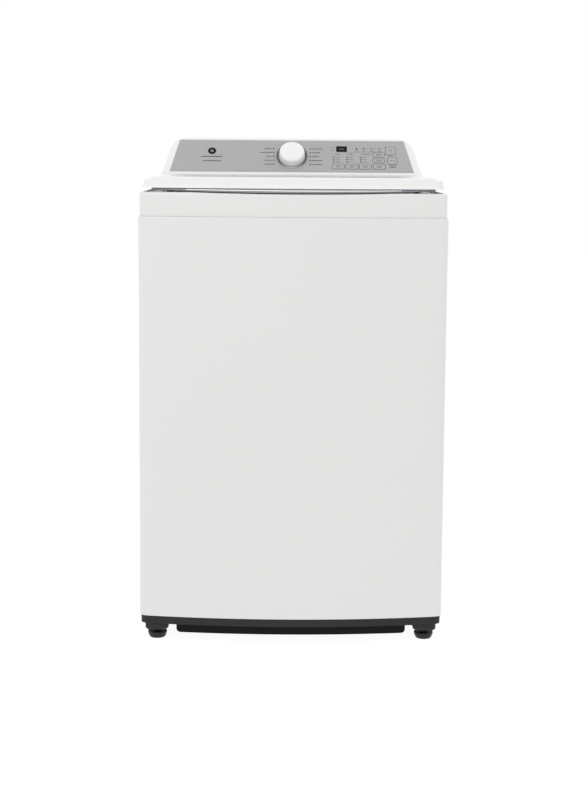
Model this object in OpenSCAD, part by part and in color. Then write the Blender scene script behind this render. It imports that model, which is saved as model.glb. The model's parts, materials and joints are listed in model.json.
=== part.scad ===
// Top load washing machine: a suspended tub in a sheet steel cabinet, with a hinged lid and a rear console.
// Millimetres. X to the right, Y to the back, Z up.
// The origin is on the floor under the middle of the machine.

/* [Cabinet] */
// Overall width across the cabinet sides
body_w = 686; // [572:1:823]
// Overall depth from the middle of the front to the tips of the water ports
body_d = 690; // [575:1:828]
// Height of the joint between the cabinet sheet and the top cover
cabinet_top = 955; // [796:1:1146]
// Height of the lower edge of the cabinet sheet
cabinet_bottom = 56; // [50:1:67]
// How far the front bulges forward at its middle
front_bow = 34; // [20:1:41]
// Radius of the two front corners
corner_r = 22; // [18:1:27]
// Radius of the two rear corners
rear_corner_r = 8; // [6:1:10]
// Thickness of the steel sheet
sheet_t = 1; // [0.8:0.1:1.5]
// Width of the flanges folded inwards round the cabinet's openings
flange_w = 26; // [22:1:30]
// Height of the fixed steel strip above the rear panel
rear_bar_h = 62; // [56:1:74]

/* [Base and legs] */
// Height of the lower edge of the base's rim
rim_bottom = 38; // [34:1:42]
// How far the base's rim stands in from the cabinet sides
rim_inset = 3; // [2:0.5:5]
// Wall of the moulded base
base_wall = 3; // [2.5:0.5:4]
// Diameter of the service opening in the base
base_opening_d = 430; // [360:1:450]
// Length of the kick strip across the front
skirt_w = 518; // [432:1:560]
// Height of the lower edge of the kick strip above the floor
skirt_bottom = 20; // [17:1:24]
// Thickness of the kick strip
skirt_t = 3; // [2.5:0.5:4]
// Distance from the cabinet side to the middle of each leg
leg_inset = 39; // [36:1:46]
// Distance from the front and back of the cabinet to the middle of each leg
leg_setback = 60; // [54:1:70]
// Diameter of a leg's rubber pad
leg_pad_d = 44; // [38:1:50]
// Height of a leg's rubber pad
leg_pad_h = 15; // [12:1:15]
// Diameter of a leg's threaded stud
leg_stud_d = 10; // [8:1:12]
// Side of the square sockets that the legs screw into
leg_socket_w = 52; // [46:1:58]
// Height of the lower face of the leg sockets
leg_socket_bottom = 22; // [22:0.5:26]

/* [Top cover and lid] */
// Slope of the top, rising to the back
deck_tilt = 1.2; // [0:0.1:2]
// Height of the deck above the cabinet joint, at the front
deck_rise = 48; // [40:1:58]
// Wall of the moulded top cover
cover_wall = 3; // [2.5:0.5:4]
// How far the top cover stands in from the cabinet sides
cover_inset = 3.5; // [2:0.5:5]
// Height of the cover's rim above the deck
rim_h = 5; // [4:0.5:8]
// Width of the opening for loading
mouth_w = 430; // [358:1:450]
// Depth of the opening for loading
mouth_d = 360; // [300:1:370]
// Corner radius of the opening for loading
mouth_r = 130; // [110:1:150]
// Gap from the foot of the opening's collar down to the tub
collar_gap = 22; // [19:1:30]
// Gap from the deck to the underside of the lid
lid_gap = 14; // [12:1:17]
// Height of the lid's frame
lid_h = 24; // [22:1:28]
// How far the lid's lower edge stands in from the cabinet sides
lid_inset = 8; // [6:0.5:10]
// How far the lid's sides lean in from bottom to top
lid_lean = 14; // [10:1:17]
// Wall of the lid's frame
lid_wall = 3; // [2.5:0.5:4]
// Width of the lid's window
window_w = 500; // [416:1:520]
// Depth of the lid's window
window_d = 330; // [275:1:340]
// Corner radius of the lid's window
window_r = 46; // [38:1:55]
// Thickness of the window's glass
glass_t = 4; // [3:0.5:5]
// Half of the length of the lid's front grip
grip_half = 312; // [260:1:316]
// Height of the grip below the lid at its middle
grip_drop = 11; // [9:0.5:11]
// Height of the grip below the lid at its ends
grip_end_drop = 5; // [4:0.5:7]
// Diameter of the lid's hinge pins
pin_d = 8; // [6:0.5:10]
// Distance from the middle of the lid to each hinge
hinge_x = 258; // [215:1:270]
// Width of each hinge lug on the top cover
hinge_lug_w = 16; // [13:1:19]

/* [Console] */
// Depth of the console on the top cover
console_d = 139; // [120:1:150]
// Height of the console above the cabinet joint
console_rise = 188; // [176:1:200]
// Half width of the console at its foot
console_foot_half = 325; // [272:1:328]
// Half width of the console at its top, before the corners are rounded
console_top_half = 297; // [248:1:310]
// Slope of the control panel, back from upright
face_tilt = 37; // [32:1:40]
// Length of the control panel up its slope
face_h = 103; // [98:1:104]
// Height of the panel's lower edge above the cabinet joint
face_rise = 102; // [98:1:106]
// Half width of the control panel at its lower edge
panel_low_half = 307; // [256:1:309]
// Half width of the control panel at its upper edge
panel_high_half = 284; // [237:1:288]
// Thickness of the control panel
panel_t = 3; // [2.5:0.5:4]
// Wall of the moulded console
console_wall = 3; // [2.5:0.5:4]
// Diameter of the cycle knob
knob_d = 66; // [55:1:70]
// Height of the cycle knob
knob_h = 22; // [18:1:24]
// Outer diameter of the ring round the knob
knob_ring_d = 78; // [76:1:84]
// Travel of a push button
button_travel = 1.2; // [1:0.1:1.5]
// Clearance round each push button
button_gap = 0.4; // [0.3:0.05:0.5]
// Diameter of an indicator light
light_d = 3; // [2.5:0.5:4]

/* [Wash unit] */
// Smallest gap from the tub to the cabinet
tub_gap = 50; // [48:1:60]
// Height of the underside of the tub
tub_bottom = 300; // [285:1:330]
// Gap from the tub's cover up to the cabinet joint
tub_head = 50; // [45:1:60]
// Wall of the tub
tub_wall = 3; // [2.5:0.5:4]
// Gap between the tub and the basket
basket_gap = 26; // [22:1:31]
// Wall of the basket
basket_wall = 1; // [0.8:0.1:1.5]
// Gap from the tub's floor to the basket's floor
basket_lift = 26; // [24:1:31]
// Height of the balance ring
balance_h = 40; // [34:1:48]
// Width of the balance ring
balance_w = 30; // [25:1:36]
// Radius of the wash impeller
impeller_r = 165; // [138:1:170]
// Radius of the drive shaft
shaft_r = 8; // [7:0.5:9]
// Outer radius of the spin tube
spin_tube_r = 15; // [13:0.5:16]
// Outer radius of the shaft bearings
bearing_r = 26; // [23:1:28]
// Height of the underside of both pulleys
pulley_bottom = 112; // [100:1:120]
// Width of the drive belt
belt_w = 12; // [10:1:14]
// Radius of the large pulley under its belt
pulley_r = 100; // [84:1:104]
// Radius of the motor's pulley under its belt
motor_pulley_r = 20; // [17:1:24]
// Distance from the drive shaft to the motor
motor_reach = 165; // [160:1:180]
// Radius of the motor
motor_r = 62; // [55:1:68]
// How far the tub may sink on its springs
tub_sink = 15; // [12:1:18]
// Distance of the suspension rods from the middle, across the machine
rod_x = 262; // [248:1:266]
// Distance of the suspension rods from the tub's axis, along the machine
rod_y = 240; // [232:1:246]
// Radius of a suspension rod
rod_r = 3; // [2.5:0.5:4]
// Free height of a suspension spring in place
spring_h = 90; // [75:1:108]

/* [Ports] */
// Radius of the threaded water ports
water_port_r = 13.2; // [12.5:0.1:14]
// How far the ports stand out behind the cabinet
port_reach = 18; // [15:1:21]
// Radius of the drain spigot
drain_r = 15; // [13:0.5:18]
// Radius of the hole for the mains cord
cord_hole_r = 4.2; // [3.5:0.1:5]

/* [Hidden] */
$fn = 48;

// Clearances
slide_gap = 0.3;
running_gap = 0.06;
seat_gap = 0.2;
seam_gap = 0.05;
eps = 0.01;

// Colours
appliance_white = [0.93, 0.93, 0.92];
charcoal = [0.22, 0.22, 0.23];
soft_black = [0.08, 0.08, 0.08];
panel_grey = [0.68, 0.69, 0.69];
steel = [0.72, 0.73, 0.74];
tub_grey = [0.62, 0.64, 0.66];

// Plan of the cabinet
front_y = -body_d / 2;
back_y = body_d / 2 - port_reach;
half_w = body_w / 2;
bow_r = (half_w * half_w + front_bow * front_bow) / (2 * front_bow);

// Heights of the top, before it is tilted about the front edge
deck_z = cabinet_top + deck_rise;
rim_z = deck_z + rim_h;
lid_z = deck_z + lid_gap;
lid_top_z = lid_z + lid_h;

// Lid hinge: the lid's back edge is a round barrel about the hinge axis
console_front = back_y - console_d;
hinge_gap = 10;
barrel_r = lid_h / 2;
hinge_y = console_front - hinge_gap - barrel_r;
hinge_z = lid_z + barrel_r;
mouth_y = (front_y + hinge_y) / 2 + 16;
collar_bottom = cabinet_top - tub_head + collar_gap;
window_y = (front_y + hinge_y) / 2 + 4;
knuckle_gap = 1;
lid_back_y = hinge_y - 16;
window_ledge = 9;
liner_gap = 1.2;

// Lid lock
strike_x = 200;
strike_y = front_y + 90;
strike_t = 4;
strike_w = 16;
strike_drop = 40;
bolt_w = 7;
bolt_l = 34;

// Console
console_top = cabinet_top + console_rise;
console_slope_z = cabinet_top + 95;
face_low = [console_front + 4, cabinet_top + face_rise];
face_high = face_low + face_h * [sin(face_tilt), cos(face_tilt)];
face_mid = (face_low + face_high) / 2;

// Buttons on the control panel: middle, size
button_back = 8;
button_proud = 0.8;
power_place = [248, 18];
start_place = [252, -13];
power_size = [24, 24];
start_size = [23, 20];
option_size = [29, 15];
small_option_size = [28, 12.5];
option_row_y = -32;
option_places = [
    [116, option_row_y], [150, option_row_y], [184, option_row_y], [219, option_row_y], [218, 5], [218, -13]
];
display_place = [125, 23];
display_size = [27, 18];

// Indicator lights: two columns beside the knob and three above the option buttons
cycle_light_x = 46;
cycle_light_step = 12.2;
option_light_step = 7.2;
option_light_low = -17;
cycle_light_places = [
    for (side = [-1, 1], i = [-2:2]) [side * cycle_light_x, -1.5 + i * cycle_light_step]
];
option_light_places = [
    for (k = [0:2], i = [0:2]) [option_places[k][0] - 11.5, option_light_low + i * option_light_step]
];
light_places = concat(cycle_light_places, option_light_places);

// Wash unit
tub_y = (front_y + back_y) / 2 + 4;
tub_r = min(half_w, (back_y - front_y) / 2) - tub_gap - sheet_t;
tub_top = cabinet_top - tub_head;
tub_floor_t = 4;
tub_cover_h = 22;
tub_floor = tub_bottom + tub_floor_t;
basket_r = tub_r - tub_wall - basket_gap;
basket_floor = tub_floor + basket_lift;
basket_top = tub_top - tub_cover_h - 16 - balance_h;
basket_floor_t = 2;
impeller_gap = 4;
impeller_floor = basket_floor + basket_floor_t + impeller_gap;
hub_arm_t = 12;
hub_r = 60;
hub_bottom = basket_floor - hub_arm_t;
seal_h = 14;
bearing_h = 15;
gearcase_top = tub_bottom - 10;
gearcase_h = 100;
gearcase_bottom = gearcase_top - gearcase_h;
gearcase_r = 50;
bracket_t = 10;
bracket_w = 64;
pulley_rim = 4;
pulley_h = belt_w + 2 * pulley_rim;
motor_bottom = pulley_bottom + pulley_h + 20;
motor_top = tub_bottom - bracket_t - 6;

// Suspension
rod_top = cabinet_top - 30;
ear_t = 20;
ear_bottom = tub_bottom + 150;
spring_bottom = ear_bottom - spring_h;
spring_r = 15;
spring_wire = 3.6;
spring_turns = 6;
rod_bottom = spring_bottom - 16;

// Pump and drain
pump_x = 150;
pump_r = 42;
pump_h = 40;
drain_line_y = back_y - drain_r - 14;
pump_y = drain_line_y - pump_r - 42;
pump_bottom = tub_bottom - 105;
pump_outlet_z = pump_bottom + 14;
nozzle_r = 11;
hose_bottom = pump_outlet_z + nozzle_r + 19;
nozzle_top = hose_bottom + tub_sink + 17;
port_z = cabinet_top - rear_bar_h / 2;
hose_bend_r = 26;

// Water valve
cold_port_x = -190;
port_spacing = 60;
gland_x = 60;

rear_screw_x = half_w - flange_w / 2;
rear_screw_edge = 14;
post_lap = 10;
board_left = 70;
board_low = -44;
board_high = 40;
board_end_gap = 50;
board_t = 1.6;
rear_panel_low = cabinet_bottom + 14;
rear_panel_high = cabinet_top - rear_bar_h + 14;

// ---------------------------------------------------------------- outlines

function arc(c, r, a0, a1, n) = [
    for (i = [0:n]) let (a = a0 + (a1 - a0) * i / n) [c[0] + r * sin(a), c[1] - r * cos(a)]
];

function mirrored(points) = [for (i = [len(points) - 1:-1:0]) [-points[i][0], points[i][1]]];

// A plan with a bowed front and rounded corners, listed from the back left round the front to the back right
function bowed_plan(half, apex, radius, corner, back, back_corner) =
    let (
        centre_y = apex + radius,
        corner_y = centre_y - sqrt(pow(radius - corner, 2) - pow(half - corner, 2)),
        turn = asin((half - corner) / (radius - corner)),
        front = arc([0, centre_y], radius, 0, turn, 14),
        side = arc([half - corner, corner_y], corner, turn, 90, 7),
        rear = arc([half - back_corner, back - back_corner], back_corner, 90, 180, 4),
        right = concat([for (i = [1:len(front) - 2]) front[i]], side, rear)
    )
    concat(mirrored(right), [[0, apex]], right);

function shell_plan(inset) = bowed_plan(
    half_w - inset, front_y + inset, bow_r - inset, max(corner_r - inset, 2), back_y - inset,
    max(rear_corner_r - inset, 1)
);

function lid_plan(inset) = bowed_plan(
    half_w - lid_inset - inset, front_y + lid_inset + inset, bow_r - lid_inset - inset,
    max(corner_r + 6 - inset, 2), hinge_y, 1
);

function rounded(w, d, r, n = 8) = concat(
    arc([w / 2 - r, -d / 2 + r], r, 0, 90, n), arc([w / 2 - r, d / 2 - r], r, 90, 180, n),
    arc([-w / 2 + r, d / 2 - r], r, 180, 270, n), arc([-w / 2 + r, -d / 2 + r], r, 270, 360, n)
);

module slab(points, z0, z1) {
    translate([0, 0, z0]) linear_extrude(z1 - z0) polygon(points);
}

module ring_slab(outer, inner, z0, z1) {
    difference() {
        slab(outer, z0, z1);
        slab(inner, z0 - 1, z1 + 1);
    }
}

module round_bar(w, d, r, h) {
    linear_extrude(h) polygon(rounded(w, d, r));
}

module tube(outer, inner, h) {
    difference() {
        cylinder(r = outer, h = h);
        translate([0, 0, -1]) cylinder(r = inner, h = h + 2);
    }
}

// Everything in the top's sloping frame turns about the front edge at the deck's height
module tilted() {
    translate([0, front_y, deck_z]) rotate([deck_tilt, 0, 0]) translate([0, -front_y, -deck_z]) children();
}

// A slab of space between two heights of the sloping frame
module tilted_space(z0, z1) {
    tilted() translate([-body_w, front_y - 50, z0]) cube([2 * body_w, body_d + 100, z1 - z0]);
}

// The control panel's frame: X across, Y up the slope, Z out of the face
module on_face() {
    translate([0, face_mid[0], face_mid[1]]) rotate([90 - face_tilt, 0, 0]) children();
}

module at_tub() {
    translate([0, tub_y, 0]) children();
}

module at_motor() {
    translate([-motor_reach, tub_y, 0]) children();
}

module at_pump() {
    translate([pump_x, pump_y, 0]) children();
}

module at_rods() {
    for (sx = [-1, 1], sy = [-1, 1]) translate([sx * rod_x, tub_y + sy * rod_y, 0]) children();
}

module at_leg(sx, sy) {
    y = sy < 0 ? front_y + leg_setback : back_y - leg_setback + 10;
    translate([sx * (half_w - leg_inset), y, 0]) children();
}

module at_every_leg() {
    for (sx = [-1, 1], sy = [-1, 1]) at_leg(sx, sy) children();
}

// ---------------------------------------------------------------- cabinet and base

module rear_screw_places() {
    for (sx = [-1, 1], i = [0:3])
        translate([
            sx * rear_screw_x, back_y,
            rear_panel_low + rear_screw_edge
                + i * (rear_panel_high - rear_panel_low - 2 * rear_screw_edge) / 3
        ])
            children();
}

module console_screw_places() {
    for (x = [-240, -80, 80, 240]) translate([x * body_w / 686, back_y, console_top - 22]) children();
}

// A gusset across one upper corner of the cabinet, which holds the ball at the head of a suspension rod
// The cabinet is welded from a front, two sides, two rear posts, two rear bars and four gussets.
module cabinet_seams() {
    for (y = [front_y + front_bow + corner_r + 1, back_y - flange_w - 1])
        translate([-body_w, y, cabinet_bottom - 1])
            cube([2 * body_w, seam_gap, cabinet_top - cabinet_bottom + 2]);
    for (z = [cabinet_bottom + flange_w + post_lap, cabinet_top - rear_bar_h - post_lap])
        translate([-body_w, back_y - flange_w - 1, z])
            cube([2 * body_w, flange_w + 2, seam_gap]);
}

module corner_gusset(sx, sy) {
    wall_x = sx * half_w;
    wall_y = sy < 0 ? front_y + front_bow + corner_r : back_y;
    x = sx * rod_x;
    y = tub_y + sy * rod_y;
    reach = 24;
    translate([0, 0, rod_top - 3]) linear_extrude(3) polygon([
        [wall_x, y - sy * reach], [wall_x, wall_y - sy * 6], [wall_x - sx * 8, wall_y],
        [x - sx * reach, wall_y], [x - sx * reach, y - sy * reach]
    ]);
}

module rod_holes(r) {
    at_rods() translate([0, 0, rod_top - 10]) cylinder(r = r, h = 20);
}

module cabinet() {
    z0 = cabinet_bottom;
    z1 = cabinet_top;
    window_half = half_w - flange_w;
    color(appliance_white) difference() {
        union() {
            difference() {
                union() {
                    ring_slab(shell_plan(0), shell_plan(sheet_t), z0, z1);
                    ring_slab(shell_plan(sheet_t / 2), shell_plan(flange_w), z1 - sheet_t, z1);
                    ring_slab(shell_plan(sheet_t / 2), shell_plan(flange_w), z0, z0 + sheet_t);
                }
                cabinet_seams();
            }
            intersection() {
                for (sx = [-1, 1], sy = [-1, 1]) corner_gusset(sx, sy);
                slab(shell_plan(sheet_t + seam_gap), rod_top - 10, rod_top + 10);
            }
        }
        translate([-window_half, back_y - 2 * sheet_t, z0 + flange_w])
            cube([2 * window_half, 3 * sheet_t, z1 - rear_bar_h - z0 - flange_w]);
        rod_holes(rod_r + 1);
        rear_screw_places() screw_hole();
        valve_ports() cylinder(r = water_port_r + 1, h = 20, center = true);
        drain_port() cylinder(r = drain_r + 1, h = 20, center = true);
        gland_place() cylinder(r = cord_hole_r + 4, h = 20, center = true);
        at_every_leg() translate([0, 0, z0 - 1]) cylinder(r = leg_stud_d / 2 + 3, h = 4);
    }
}

module screw_hole() {
    rotate([90, 0, 0]) cylinder(r = 2.2, h = 24, center = true, $fn = 24);
}

module rear_panel() {
    w = body_w - 2 * rear_corner_r - 4;
    rib_w = 150;
    rib_h = rear_panel_high - rear_panel_low - 120;
    mid_z = (rear_panel_low + rear_panel_high) / 2;
    color(steel) difference() {
        union() {
            translate([-w / 2, back_y, rear_panel_low]) cube([w, sheet_t, rear_panel_high - rear_panel_low]);
            for (x = [-1, 0, 1]) translate([x * w * 0.3, back_y + sheet_t + 4, mid_z]) rotate([90, 0, 0])
                round_bar(rib_w, rib_h, 30, 4.5);
        }
        for (x = [-1, 0, 1]) translate([x * w * 0.3, back_y + 4, mid_z]) rotate([90, 0, 0])
            round_bar(rib_w - 2 * sheet_t, rib_h - 2 * sheet_t, 30 - sheet_t, 8);
        rear_screw_places() screw_hole();
    }
}

module base_frame() {
    z1 = cabinet_bottom;
    color(charcoal) difference() {
        union() {
            ring_slab(shell_plan(rim_inset), shell_plan(rim_inset + base_wall), rim_bottom, z1);
            difference() {
                slab(shell_plan(rim_inset + base_wall / 2), rim_bottom + 3, rim_bottom + 3 + base_wall);
                translate([0, tub_y, 0]) cylinder(r = base_opening_d / 2, h = z1);
            }
            translate([0, tub_y, rim_bottom + 3])
                tube(base_opening_d / 2 + base_wall, base_opening_d / 2, 12);
            at_every_leg() translate([0, 0, leg_socket_bottom])
                round_bar(leg_socket_w, leg_socket_w, 8, z1 - leg_socket_bottom);
        }
        at_every_leg() translate([0, 0, leg_socket_bottom - 1])
            cylinder(r = leg_stud_d / 2 + slide_gap, h = z1);
    }
}

module front_skirt() {
    inset = rim_inset + base_wall + seat_gap;
    top = rim_bottom + 3;
    color(soft_black) intersection() {
        ring_slab(shell_plan(inset), shell_plan(inset + skirt_t), skirt_bottom, top);
        translate([0, front_y + front_bow + 20, (skirt_bottom + top + 20) / 2]) rotate([90, 0, 0])
            linear_extrude(front_bow + 40) polygon(rounded(skirt_w, top + 20 - skirt_bottom, 9));
    }
}

module leveling_leg() {
    r = leg_pad_d / 2;
    color(charcoal) union() {
        rotate_extrude() polygon([
            [0, 0], [r - 1.5, 0], [r, 1.5], [r, 6], [r - 2, leg_pad_h - 1], [r - 3, leg_pad_h], [0, leg_pad_h]
        ]);
        cylinder(r = leg_stud_d / 2, h = cabinet_bottom + 8);
    }
}

module leg_lock_nuts() {
    nut_h = leg_socket_bottom - leg_pad_h - 2 * seat_gap;
    color(steel) at_every_leg() translate([0, 0, leg_pad_h + seat_gap]) difference() {
        cylinder(r = leg_stud_d * 0.98, h = nut_h, $fn = 6);
        translate([0, 0, -1]) cylinder(r = leg_stud_d / 2 + slide_gap, h = nut_h + 2);
    }
}

// ---------------------------------------------------------------- top cover

// The outline in front view of the lid's grip: flat on top with a sagging lower edge, grown by a margin
function grip_profile(grow) =
    let (
        half = grip_half + grow,
        sag = grip_drop - grip_end_drop,
        r = (grip_half * grip_half + sag * sag) / (2 * sag),
        low = lid_z - grip_drop - grow
    )
    concat(
        [[half, lid_z + grow], [-half, lid_z + grow]],
        [for (i = [0:20]) let (x = -half + 2 * half * i / 20) [x, low + r - sqrt(r * r - x * x)]]
    );

module front_profile_bar(points) {
    translate([0, front_y + front_bow + 40, 0]) rotate([90, 0, 0])
        linear_extrude(front_bow + 60) polygon(points);
}

module mouth(grow, z0, z1) {
    translate([0, mouth_y, z0]) round_bar(mouth_w + 2 * grow, mouth_d + 2 * grow, mouth_r + grow, z1 - z0);
}

module hinge_lugs() {
    for (sx = [-1, 1]) tilted() translate([sx * hinge_x - hinge_lug_w / 2, hinge_y, hinge_z]) {
        rotate([0, 90, 0]) cylinder(r = barrel_r - knuckle_gap, h = hinge_lug_w);
        translate([0, -8, deck_z - hinge_z - cover_wall / 2])
            cube([hinge_lug_w, 16, hinge_z - deck_z + cover_wall / 2]);
    }
}

module hinge_bores(r) {
    tilted() translate([0, hinge_y, hinge_z]) rotate([0, 90, 0]) cylinder(r = r, h = body_w, center = true);
}

module strike_slot() {
    slot_w = strike_t + 6;
    slot_d = strike_w + 14;
    tilted() translate([strike_x - slot_w / 2, strike_y - slot_d / 2 - 1, deck_z - 20])
        cube([slot_w, slot_d, 40]);
}

// The space above the deck that the console stands in
module console_seat() {
    half = console_foot_half + seat_gap;
    intersection() {
        translate([-half, console_front, deck_z]) cube([2 * half, console_d, console_rise]);
        tilted_space(deck_z, console_top + 50);
    }
}

module top_cover() {
    outer = shell_plan(cover_inset);
    inner = shell_plan(cover_inset + cover_wall);
    low = cabinet_top;
    high = deck_z + 60;
    color(appliance_white) difference() {
        union() {
            difference() {
                intersection() {
                    slab(outer, low, high);
                    tilted_space(0, rim_z);
                }
                intersection() {
                    slab(inner, low - 1, high);
                    tilted_space(0, deck_z - cover_wall);
                }
                intersection() {
                    slab(inner, low, high);
                    tilted_space(deck_z, high + 50);
                }
                console_seat();
            }
            intersection() {
                mouth(cover_wall, collar_bottom, high);
                tilted_space(0, deck_z - cover_wall / 2);
            }
            hinge_lugs();
        }
        mouth(0, collar_bottom - 1, high);
        tilted() front_profile_bar(grip_profile(1.2));
        hinge_bores(pin_d / 2 + running_gap);
        strike_slot();
        translate([-34, mouth_y + mouth_d / 2 - 20, deck_z - 20]) cube([68, 40, 12]);
    }
}

module fill_spout() {
    y0 = mouth_y + mouth_d / 2 + cover_wall + seat_gap;
    y1 = back_y - 52;
    z = deck_z - 24;
    duct_x = cold_port_x + port_spacing / 2;
    color(appliance_white) difference() {
        union() {
            translate([-44, y0, z]) cube([88, 30, 20]);
            translate([-33, y0 - cover_wall - 6, z + 4.5]) cube([66, cover_wall + 8, 11]);
            translate([duct_x - 12, y0 + 10, z]) cube([-duct_x, 20, 18]);
            translate([duct_x - 12, y0 + 10, z]) cube([24, y1 - y0 - 10, 18]);
            translate([duct_x - 12, y1 - 24, port_z + 15 + seat_gap]) cube([24, 24, z - port_z + 2]);
        }
        translate([-30, y0 - cover_wall - 7, z + 7]) cube([60, cover_wall + 34, 6]);
        translate([duct_x - 9, y0 + 13, z + 3]) cube([-duct_x + 12, 14, 12]);
        translate([duct_x - 9, y0 + 13, z + 3]) cube([18, y1 - y0 - 16, 12]);
        translate([duct_x - 9, y1 - 21, port_z]) cube([18, 18, z - port_z + 10]);
    }
}

// ---------------------------------------------------------------- lid lock

module lid_lock_housing() {
    w = bolt_l + 20;
    x0 = strike_x + strike_t / 2 + 4;
    d = 34;
    h = 24;
    bolt_z = deck_z - 9 - 7;
    color(soft_black) tilted() difference() {
        translate([x0, strike_y - d / 2, deck_z - cover_wall - seat_gap - h]) cube([w, d, h]);
        translate([x0 - 1, strike_y - bolt_w / 2 - slide_gap, bolt_z - bolt_w / 2 - slide_gap])
            cube([bolt_l + 12, bolt_w + 2 * slide_gap, bolt_w + 2 * slide_gap]);
    }
}

module lid_lock_bolt() {
    x0 = strike_x + strike_t / 2 + 5;
    bolt_z = deck_z - 9 - 7;
    color(steel) tilted() translate([x0, strike_y - bolt_w / 2, bolt_z - bolt_w / 2])
        cube([bolt_l, bolt_w, bolt_w]);
}

module lid_strike() {
    bolt_z = deck_z - 9 - 7;
    foot_t = 3;
    color(steel) tilted() difference() {
        union() {
            translate([strike_x - strike_t / 2, strike_y - strike_w / 2, lid_z - strike_drop])
                cube([strike_t, strike_w, strike_drop]);
            translate([strike_x - 14, strike_y - strike_w / 2, lid_z - foot_t]) cube([28, strike_w, foot_t]);
        }
        translate([strike_x - 10, strike_y - bolt_w / 2 - 1.5, bolt_z - bolt_w / 2 - 1.5])
            cube([20, bolt_w + 3, bolt_w + 3]);
    }
}

// ---------------------------------------------------------------- lid

// The lid's outer form: its sides lean in and its upper edge is rounded
module lid_form(inset, z0, z1) {
    h = z1 - z0;
    steps = [[0, 0], [0.55, 0.2], [0.85, 0.55], [1, 1]];
    hull() for (s = steps) translate([0, 0, z0 + (h - eps) * s[0]])
        slab(lid_plan(inset + lid_lean * s[1]), 0, eps);
}

module window_cut(grow, z0, z1) {
    translate([0, window_y, z0])
        round_bar(window_w + 2 * grow, window_d + 2 * grow, window_r + grow, z1 - z0);
}

module lid_frame() {
    barrel_half = half_w - lid_inset - lid_lean - 2;
    cut_w = hinge_lug_w + 2 * knuckle_gap;
    color(appliance_white) tilted() difference() {
        union() {
            difference() {
                lid_form(0, lid_z, lid_top_z);
                intersection() {
                    lid_form(lid_wall, lid_z - 1, lid_top_z - lid_wall);
                    translate([-body_w, front_y, lid_z - 2])
                        cube([2 * body_w, lid_back_y - front_y, lid_h + 4]);
                }
            }
            difference() {
                window_cut(window_ledge, lid_top_z - glass_t - lid_wall, lid_top_z - lid_wall / 2);
                window_cut(-window_ledge, lid_z, lid_top_z + 1);
            }
            translate([0, hinge_y, hinge_z]) rotate([0, 90, 0])
                cylinder(r = barrel_r, h = 2 * barrel_half, center = true);
        }
        window_cut(seat_gap, lid_top_z - glass_t, lid_top_z + 1);
        window_cut(-window_ledge, lid_z, lid_top_z + 1);
        for (sx = [-1, 1]) translate([sx * hinge_x - cut_w / 2, hinge_y - barrel_r - 2, lid_z - 1])
            cube([cut_w, 2 * barrel_r + 4, lid_h + 2]);
        translate([0, hinge_y, hinge_z]) rotate([0, 90, 0])
            cylinder(r = pin_d / 2, h = 2 * (hinge_x + hinge_lug_w / 2 + 14), center = true);
    }
}

module lid_liner() {
    t = 2.5;
    upstand = 2;
    color(appliance_white) tilted() difference() {
        union() {
            intersection() {
                slab(lid_plan(lid_wall + liner_gap), lid_z, lid_z + t);
                translate([-body_w, front_y, lid_z]) cube([2 * body_w, lid_back_y - seat_gap - front_y, t]);
            }
            window_cut(upstand - window_ledge, lid_z, lid_top_z - glass_t - lid_wall - seat_gap);
        }
        window_cut(-window_ledge, lid_z - 1, lid_top_z);
    }
}

module lid_window() {
    color([0.55, 0.6, 0.62, 0.4]) tilted() window_cut(0, lid_top_z - glass_t, lid_top_z);
}

module lid_grip() {
    color(panel_grey) tilted() intersection() {
        ring_slab(lid_plan(1), lid_plan(13), lid_z - grip_drop - 1, lid_z);
        front_profile_bar(grip_profile(0));
    }
}

module lid_bumpers() {
    x = mouth_w / 2 + 60;
    color(charcoal) tilted() for (sx = [-1, 1], y = [front_y + 90, hinge_y - 70])
        translate([sx * min(x, half_w - 50), y, deck_z + 0.1]) cylinder(r = 6, h = lid_gap - 0.1);
}

module lid_hinge_pins() {
    l = hinge_lug_w + 20;
    color(steel) tilted() for (sx = [-1, 1]) translate([sx * hinge_x, hinge_y, hinge_z]) rotate([0, 90, 0])
        cylinder(r = pin_d / 2, h = l, center = true);
}

// ---------------------------------------------------------------- console

module console_side(inset) {
    top_r = 8;
    low = cabinet_top + 20;
    offset(delta = -inset) polygon(concat(
        [
            [back_y, low], [console_front, low],
            [console_front, face_low[1] - 9], [face_low[0] - 1.5, face_low[1] - 4]
        ],
        [face_low, face_high],
        [[face_high[0] + 3, console_top - 1], [face_high[0] + 7, console_top]],
        [for (i = [0:5]) [back_y - top_r + top_r * sin(18 * i), console_top - top_r + top_r * cos(18 * i)]]
    ));
}

module console_front_view(inset) {
    offset(r = 24 - inset, $fn = 48) offset(delta = -24) polygon([
        [-console_foot_half, cabinet_top - 60], [console_foot_half, cabinet_top - 60],
        [console_foot_half, console_slope_z], [console_top_half, console_top],
        [-console_top_half, console_top],
        [-console_foot_half, console_slope_z]
    ]);
}

module console_form(inset) {
    intersection() {
        rotate([90, 0, 90]) linear_extrude(2 * body_w, center = true) console_side(inset);
        translate([0, back_y + 50, 0]) rotate([90, 0, 0]) linear_extrude(body_d) console_front_view(inset);
    }
}

function panel_plan(grow) = [
    [-panel_low_half - grow, -face_h / 2 - grow], [panel_low_half + grow, -face_h / 2 - grow],
    [panel_high_half + grow, face_h / 2 + grow], [-panel_high_half - grow, face_h / 2 + grow]
];

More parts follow.
